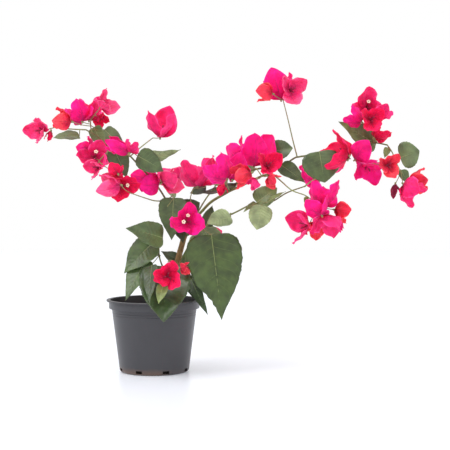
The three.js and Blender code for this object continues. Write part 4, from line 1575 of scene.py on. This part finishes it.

# The leaves given the darker kind are partly painted shade.
SPRAYS = (
    Spray("far_left", ((-87, -44, 326), (-108, -48, 327), (-124, -52, 329), (-140, -54, 325)),
                      bears=(
        Bloom((-142, -54, 324), (232, 2), 26, 40, 60, PINK),
        Bloom((-132, -54, 324), (235, -62), 15, 16, 0, CRIMSON),
        Leaf((-97, -36, 318), (-160, -5), 36, 26, -30, FRESH),
    )),
    Spray("left_crest", ((-79, -44, 322), (-81, -42, 330), (-81, -40, 339), (-76, -38, 347)),
                        bears=(
        Bloom((-102, -72, 335), (178, 12), 27, 32, 100, CORAL),
        Bloom((-91, -53, 336), (132, 56), 31, 34, 60, MAGENTA),
        Bloom((-85, -27, 339), (80, 72), 34, 30, 20, ROSE),
        Bloom((-67, -50, 356), (-30, 30), 27, 43, 80, PINK),
        Bloom((-75, -8, 345), (-40, -30), 18, 38, 10, CRIMSON),
        Leaf((-78, -32, 330), (-20, -60), 35, 20, 80, PALE),
        Leaf((-65, -26, 327), (10, -45), 43, 23, 65, FRESH),
    )),
    Spray("left_low", ((-53, -41, 302), (-58, -48, 297), (-68, -52, 286), (-73, -52, 278)), bears=(
        Bloom((-76, -41, 290), (-86, 10), 30, 50, 70, ROSE, 1),
        Bloom((-68, -65, 277), (228, -15), 20, 40, 40, PINK),
        Bloom((-42, -74, 267), (110, 30), 19, 38, 40, CRIMSON),
        Bloom((-29, -74, 293), (178, 33), 34, 14, 0, MAGENTA),
        Bloom((-29, -50, 295), (45, 62), 19, 34, 50, ROSE),
        Leaf((-52, -29, 301), (15, -65), 42, 29, 85, MID),
    )),
    Spray("left_hanging", ((16, 4, 232), (2, -12, 232), (-11, -24, 236), (-30, -36, 243)), bears=(
        Bloom((-41, -32, 252), (-76, 0), 29, 48, 10, CRIMSON, 1),
        Bloom((-38, -79, 253), (172, 0), 33, 26, 80, PINK),
        Bloom((-50, -24, 256), (150, 35), 22, 34, 0, PINK),
    )),
    Spray("tall_single", ((-29, -34, 292), (-14, -30, 305), (0, -28, 316)), bears=(
        Bloom((10, -30, 316), (-66, 73), 44, 28, 52, ROSE),
        Leaf((-20, -37, 292), (15, -30), 41, 33, 70, MID),
        Leaf((-18, -16, 291), (30, 10), 63, 27, -145, DARK),
    )),
    Spray("centre_left", ((8, -6, 247), (5, -14, 251), (5, -22, 255)), bears=(
        Bloom((9, -17, 255), (178, 10), 34, 36, 94, MAGENTA),
        Bloom((11, -13, 257), (-6, 16), 31, 36, 60, PINK),
    )),
    Spray("centre_rose", ((61, -5, 212), (54, 5, 222), (49, 10, 234), (53, 10, 249)), bears=(
        Bloom((59, 7, 251), (90, 73), 45, 32, 28, ROSE),
        Leaf((70, 35, 251), (155, -20), 27, 19, -65, DARK),
    )),
    Spray("centre_magenta", ((102, -20, 247), (99, -26, 252), (98, -30, 257)), bears=(
        Bloom((99, -66, 261), (136, 52), 37, 36, 75, MAGENTA),
        Bloom((92, -25, 255), (-80, -60), 16, 26, 0, CRIMSON),
        Leaf((102, 9, 245), (160, -5), 53, 22, -25, DARK),
    )),
    Spray("centre_crown", ((116, -24, 251), (111, -16, 263), (108, -10, 274)), bears=(
        Bloom((106, -19, 260), (56, 62), 37, 32, 15, MAGENTA),
        Bloom((131, -71, 269), (182, -18), 30, 30, 0, CORAL),
        Leaf((111, -16, 252), (160, -10), 37, 16, -30, DARK),
    )),
    Spray("right_heart", ((145, -42, 265), (141, -34, 271), (138, -26, 276)), bears=(
        Bloom((136, 8, 278), (86, 80), 53, 30, 95, MAGENTA),
        Bloom((152, -51, 277), (-76, 24), 27, 44, 30, CRIMSON),
        Bloom((152, -68, 265), (-12, -36), 19, 34, 60, CORAL),
        Bloom((137, -87, 261), (215, -48), 15, 32, 0, ROSE),
    )),
    Spray("fork_bloom", ((46, -2, 192), (48, -22, 200), (47, -32, 207)), bears=(
        Bloom((44, -32, 204), (-78, 14), 33, 48, 85, MAGENTA, 2),
    )),
    Spray("fork_leaves", ((32, 4, 203), (22, -8, 214), (19, -14, 225)), bears=(
        Leaf((27, -10, 236), (-105, -80), 58, 39, -10, MID),
        Leaf((30, -7, 211), (-40, -70), 39, 23, 35, DARK),
        Leaf((38, 4, 217), (30, 25), 30, 27, 55, DARK),
    )),
    Spray("great_leaf", ((67, -19, 196), (70, -24, 192)), bears=(
        Leaf((78, -27, 187), (-45, -80), 115, 75, 40, GREAT),
        Leaf((71, -19, 198), (65, 55), 34, 18, 35, DARK),
    )),
    Spray("lower_leaf", ((106, -36, 215), (103, -42, 216)), bears=(
        Leaf((104, -44, 211), (165, -15), 34, 30, 50, PALE),
    )),
    Spray("left_leaves", ((8, -34, 175), (7, -38, 180), (5, -42, 184)), bears=(
        Leaf((14, -42, 183), (-155, 15), 54, 37, -65, MID),
        Leaf((0, -31, 176), (-160, -45), 56, 39, -50, MID),
    )),
    Spray("low_leaves", ((16, -18, 134), (7, -26, 140), (-1, -32, 148)), bears=(
        Leaf((-9, -35, 153), (-135, -55), 63, 33, -20, MID),
        Leaf((9, -28, 160), (-155, -5), 25, 14, -20, DARK),
        Leaf((1, -70, 148), (-90, -45), 65, 20, 20, DARK),
        Leaf((18, -48, 146), (-90, -50), 88, 68, 0, BIG),
        Leaf((17, -93, 125), (-110, -55), 28, 15, -20, YOUNG),
    )),
    Spray("low_bloom", ((28, 0, 149), (24, -32, 153), (22, -64, 154)), bears=(
        Bloom((22, -88, 136), (-80, 6), 27, 46, 75, CRIMSON),
        Bloom((38, -71, 145), (-20, 5), 14, 36, 45, CORAL),
    )),
    Spray("low_right", ((31, 4, 140), (39, -2, 135), (46, -12, 129)), bears=(
        Leaf((51, -23, 127), (-45, -55), 58, 16, 60, DARK),
        Leaf((43, 6, 129), (-20, -70), 33, 16, 55, DARK),
        Leaf((36, 13, 148), (160, 25), 33, 18, -55, DARK),
        Leaf((41, -5, 143), (-55, 75), 28, 12, 155, PALE),
    )),
    Spray("top_bloom", ((197, 46, 293), (191, 46, 316), (184, 44, 345), (177, 42, 372)), bears=(
        Bloom((162, 18, 378), (178, 6), 26, 34, 10, CORAL),
        Bloom((174, 38, 371), (115, 70), 45, 30, 40, MAGENTA),
        Bloom((186, 26, 383), (-66, 8), 29, 48, 30, PINK),
    )),
    Spray("upper_leaves", ((167, 43, 279), (162, 38, 285), (159, 34, 291)), bears=(
        Leaf((160, 35, 299), (-10, 10), 31, 30, 70, MID),
        Leaf((174, 38, 281), (-20, -35), 44, 26, 50, MID),
    )),
    Spray("mid_right", ((201, -44, 251), (213, -20, 259), (233, 5, 270), (250, 12, 281)), bears=(
        Bloom((223, 18, 248), (124, 56), 42, 14, 0, MAGENTA),
        Bloom((263, -14, 293), (180, 16), 41, 42, 62, CRIMSON),
        Bloom((264, 16, 288), (150, 58), 30, 30, 30, CRIMSON),
        Leaf((224, -4, 299), (-55, -75), 44, 52, 40, MID),
    )),
    Spray("crown_right", ((303, 36, 312), (300, 34, 324), (297, 30, 335)), bears=(
        Bloom((293, 44, 361), (-84, 4), 33, 50, 92, ROSE, 1),
        Bloom((283, 10, 339), (150, 36), 27, 34, 60, MAGENTA),
        Bloom((294, 5, 342), (-80, 10), 26, 44, 30, CRIMSON),
        Bloom((304, 20, 345), (16, 48), 26, 32, 42, ROSE),
        Bloom((301, 21, 318), (8, 34), 24, 34, 90, CRIMSON),
    )),
    Spray("right_cluster", ((273, 36, 308), (274, 26, 296), (279, 16, 288)), bears=(
        Bloom((272, -4, 287), (14, 32), 33, 36, 20, MAGENTA),
        Bloom((293, 36, 285), (-70, -60), 34, 42, 75, MAGENTA),
        Bloom((316, -4, 280), (-75, 0), 26, 44, 55, CORAL),
        Leaf((306, 40, 309), (-165, 30), 64, 37, -70, PALE),
    )),
    Spray("right_tip", ((321, 34, 309), (327, 28, 299), (331, 20, 286), (337, 12, 271)), bears=(
        Bloom((337, -7, 255), (-18, -38), 34, 36, 40, ROSE),
        Bloom((349, 17, 257), (0, 10), 29, 34, 60, CORAL),
        Bloom((331, 23, 255), (-90, -78), 20, 16, 0, MAROON),
        Leaf((338, 26, 291), (-15, 20), 28, 38, 85, FRESH),
        Leaf((338, 16, 274), (-50, -60), 22, 16, 25, MID),
        Leaf((322, 32, 305), (-145, -65), 16, 10, -50, YOUNG),
    )),
    Spray("hanging_cluster", ((159, -50, 268), (170, -58, 258), (184, -64, 246), (202, -66, 239),
                              (218, -66, 226)), bears=(
        Bloom((224, -72, 225), (66, 72), 38, 34, 40, MAGENTA),
        Bloom((220, -98, 214), (120, 58), 30, 36, 0, MAGENTA),
        Bloom((205, -74, 202), (202, -2), 31, 42, 30, ROSE),
        Bloom((239, -63, 221), (-5, -14), 24, 34, 40, CORAL),
        Bloom((227, -80, 216), (-85, -66), 34, 38, 60, ROSE),
        Bloom((236, -46, 211), (0, -48), 24, 12, 0, MAGENTA),
        Bloom((215, -50, 205), (250, -72), 24, 34, 30, CORAL),
        Leaf((201, -75, 238), (70, -70), 17, 7, 145, YOUNG),
    ), foot=0.95),
    Spray("lower_right_leaves", ((133, -47, 228), (137, -52, 228), (141, -56, 228)), bears=(
        Leaf((145, -64, 227), (-130, -70), 34, 31, 145, PALE),
        Leaf((137, -53, 230), (-160, -35), 22, 10, -30, PALE),
        Leaf((138, -57, 230), (15, 35), 34, 30, 55, PALE),
        Leaf((152, -65, 231), (-15, 30), 28, 10, 40, PALE),
    )),
    Spray("left_back", ((16, 4, 233), (23, 28, 238), (28, 52, 246), (21, 74, 261)), bears=(
        Bloom((21, 72, 258), (95, 20), 30, 46, 30, ROSE),
        Bloom((-9, 60, 261), (140, 20), 27, 40, 0, MAGENTA),
        Leaf((28, 44, 244), (130, 25), 41, 27, 85, MID),
    )),
    Spray("back_crown", ((92, 80, 264), (106, 88, 278), (124, 92, 292)), bears=(
        Bloom((118, 92, 289), (80, 40), 33, 42, 20, MAGENTA),
        Bloom((81, 79, 269), (110, 20), 30, 44, 60, ROSE),
        Bloom((149, 71, 300), (60, 20), 30, 40, 0, CRIMSON),
        Leaf((98, 109, 267), (160, -15), 32, 27, 75, MID),
        Leaf((112, 126, 276), (15, 0), 31, 27, -80, DARK),
    )),
    Spray("back_leaves", ((48, 34, 194), (67, 56, 182), (78, 66, 161)), bears=(
        Bloom((72, 78, 178), (70, -10), 27, 48, 10, ROSE, 1),
        Leaf((72, 69, 176), (45, -65), 85, 46, -50, DARK),
        Leaf((67, 50, 182), (115, -70), 77, 41, 20, MID),
        Leaf((59, 27, 191), (25, -30), 60, 33, -50, MID),
    )),
    Spray("low_back", ((24, 10, 110), (23, 30, 122), (28, 46, 132)), bears=(
        Bloom((32, 73, 130), (60, 20), 26, 48, 0, ROSE),
        Leaf((27, 55, 131), (120, -55), 52, 35, 30, DARK),
        Leaf((22, 37, 127), (55, -45), 45, 33, -30, MID),
        Leaf((21, 13, 123), (135, -10), 40, 30, 40, MID),
    )),
    Spray("right_back", ((242, 41, 300), (247, 58, 294), (251, 70, 289)), bears=(
        Bloom((251, 77, 289), (90, 10), 30, 50, 20, ROSE, 1),
        Bloom((227, 60, 283), (120, -20), 27, 40, 0, MAGENTA),
        Leaf((244, 59, 294), (35, -5), 40, 27, -70, MID),
    )),
    Spray("left_rear", ((-47, -39, 299), (-54, -14, 306), (-64, 6, 304)), bears=(
        Bloom((-69, 8, 298), (95, 10), 27, 48, 30, ROSE, 1),
        Bloom((-83, -10, 301), (130, 10), 24, 42, 0, MAGENTA),
        Leaf((-61, -13, 306), (60, -30), 32, 23, -35, MID),
    )),
)


# ---- the studio ------------------------------------------------------------------------
@dataclass(frozen=True)
class Studio:
    """A pale board floor under a wide soft light, and the camera that looks at it."""

    camera: Triple = (96.3, -1600.0, 250.0)
    tilt: float = 88.174
    lens: float = 94.16
    floor_size: float = 6.0  # metres
    floor_level: float = -0.0004  # metres
    floor_squares: int = 12
    world: float = 0.92
    look_at: Triple = (100.0, 0.0, 180.0)
    light_size: float = 1.5  # metres
    key: tuple[float, Triple] = (34.0, (-1000.0, -900.0, 2200.0))  # watts, place
    fill: tuple[float, Triple] = (3.0, (1400.0, -900.0, 700.0))

    def build(self) -> None:
        """Lays the floor, hangs the lights and sets up the camera."""
        half, count = self.floor_size / 2, self.floor_squares
        board = Skin()
        finish = board.finish(BOARD)
        lines = [mix(-half, half, step / count) for step in range(count + 1)]
        board.sheet([[Vector((x, y, self.floor_level)) for x in lines] for y in lines], finish)
        board.build("studio_floor")
        self.light("key", *self.key)
        self.light("fill", *self.fill)
        self.sky()
        self.aim_camera()

    def light(self, name: str, power: float, place: Triple) -> None:
        """Hangs one soft light that looks at the plant.

        Args:
            name: its name.
            power: in watts.
            place: where it hangs, in millimetres.
        """
        lamp = bpy.data.lights.new(name, "AREA")
        lamp.energy, lamp.size = power, self.light_size
        made = placed(name, lamp)
        made.location = Vector(place) * MM
        look = Vector(self.look_at) * MM - made.location
        made.rotation_euler = look.to_track_quat("-Z", "Y").to_euler()

    def sky(self) -> None:
        """Sets the even white surround."""
        world = bpy.data.worlds.new("surround")
        world.use_nodes = True
        tree = world.node_tree
        seen = add(tree, "LightPath", {}, "Is Camera Ray")
        strength = add(tree, "MapRange", {"Value": seen, "To Min": self.world, "To Max": 1.0})
        background = tree.nodes["Background"].inputs
        background["Color"].default_value = linear("ffffff")
        tree.links.new(strength, background["Strength"])
        bpy.context.scene.world = world

    def aim_camera(self) -> None:
        """Stands the camera in front of the plant, a little above its middle."""
        camera = bpy.data.cameras.new("camera")
        camera.lens, camera.sensor_width, camera.clip_end = self.lens, 36.0, 50.0
        made = placed("camera", camera)
        made.location = Vector(self.camera) * MM
        made.rotation_euler = (math.radians(self.tilt), 0.0, 0.0)
        scene = bpy.context.scene
        scene.camera = made
        scene.view_settings.view_transform, scene.view_settings.look = "Standard", "None"


def main() -> None:
    """Builds the plant part by part, and the studio round it."""
    logging.basicConfig(level=logging.INFO, format="%(message)s")
    Studio().build()
    for part in (Pot(), CompostBed(), *LIMBS, *SPRAYS):
        part.dress()


if __name__ == "__main__":
    main()
    bpy.context.view_layer.update()
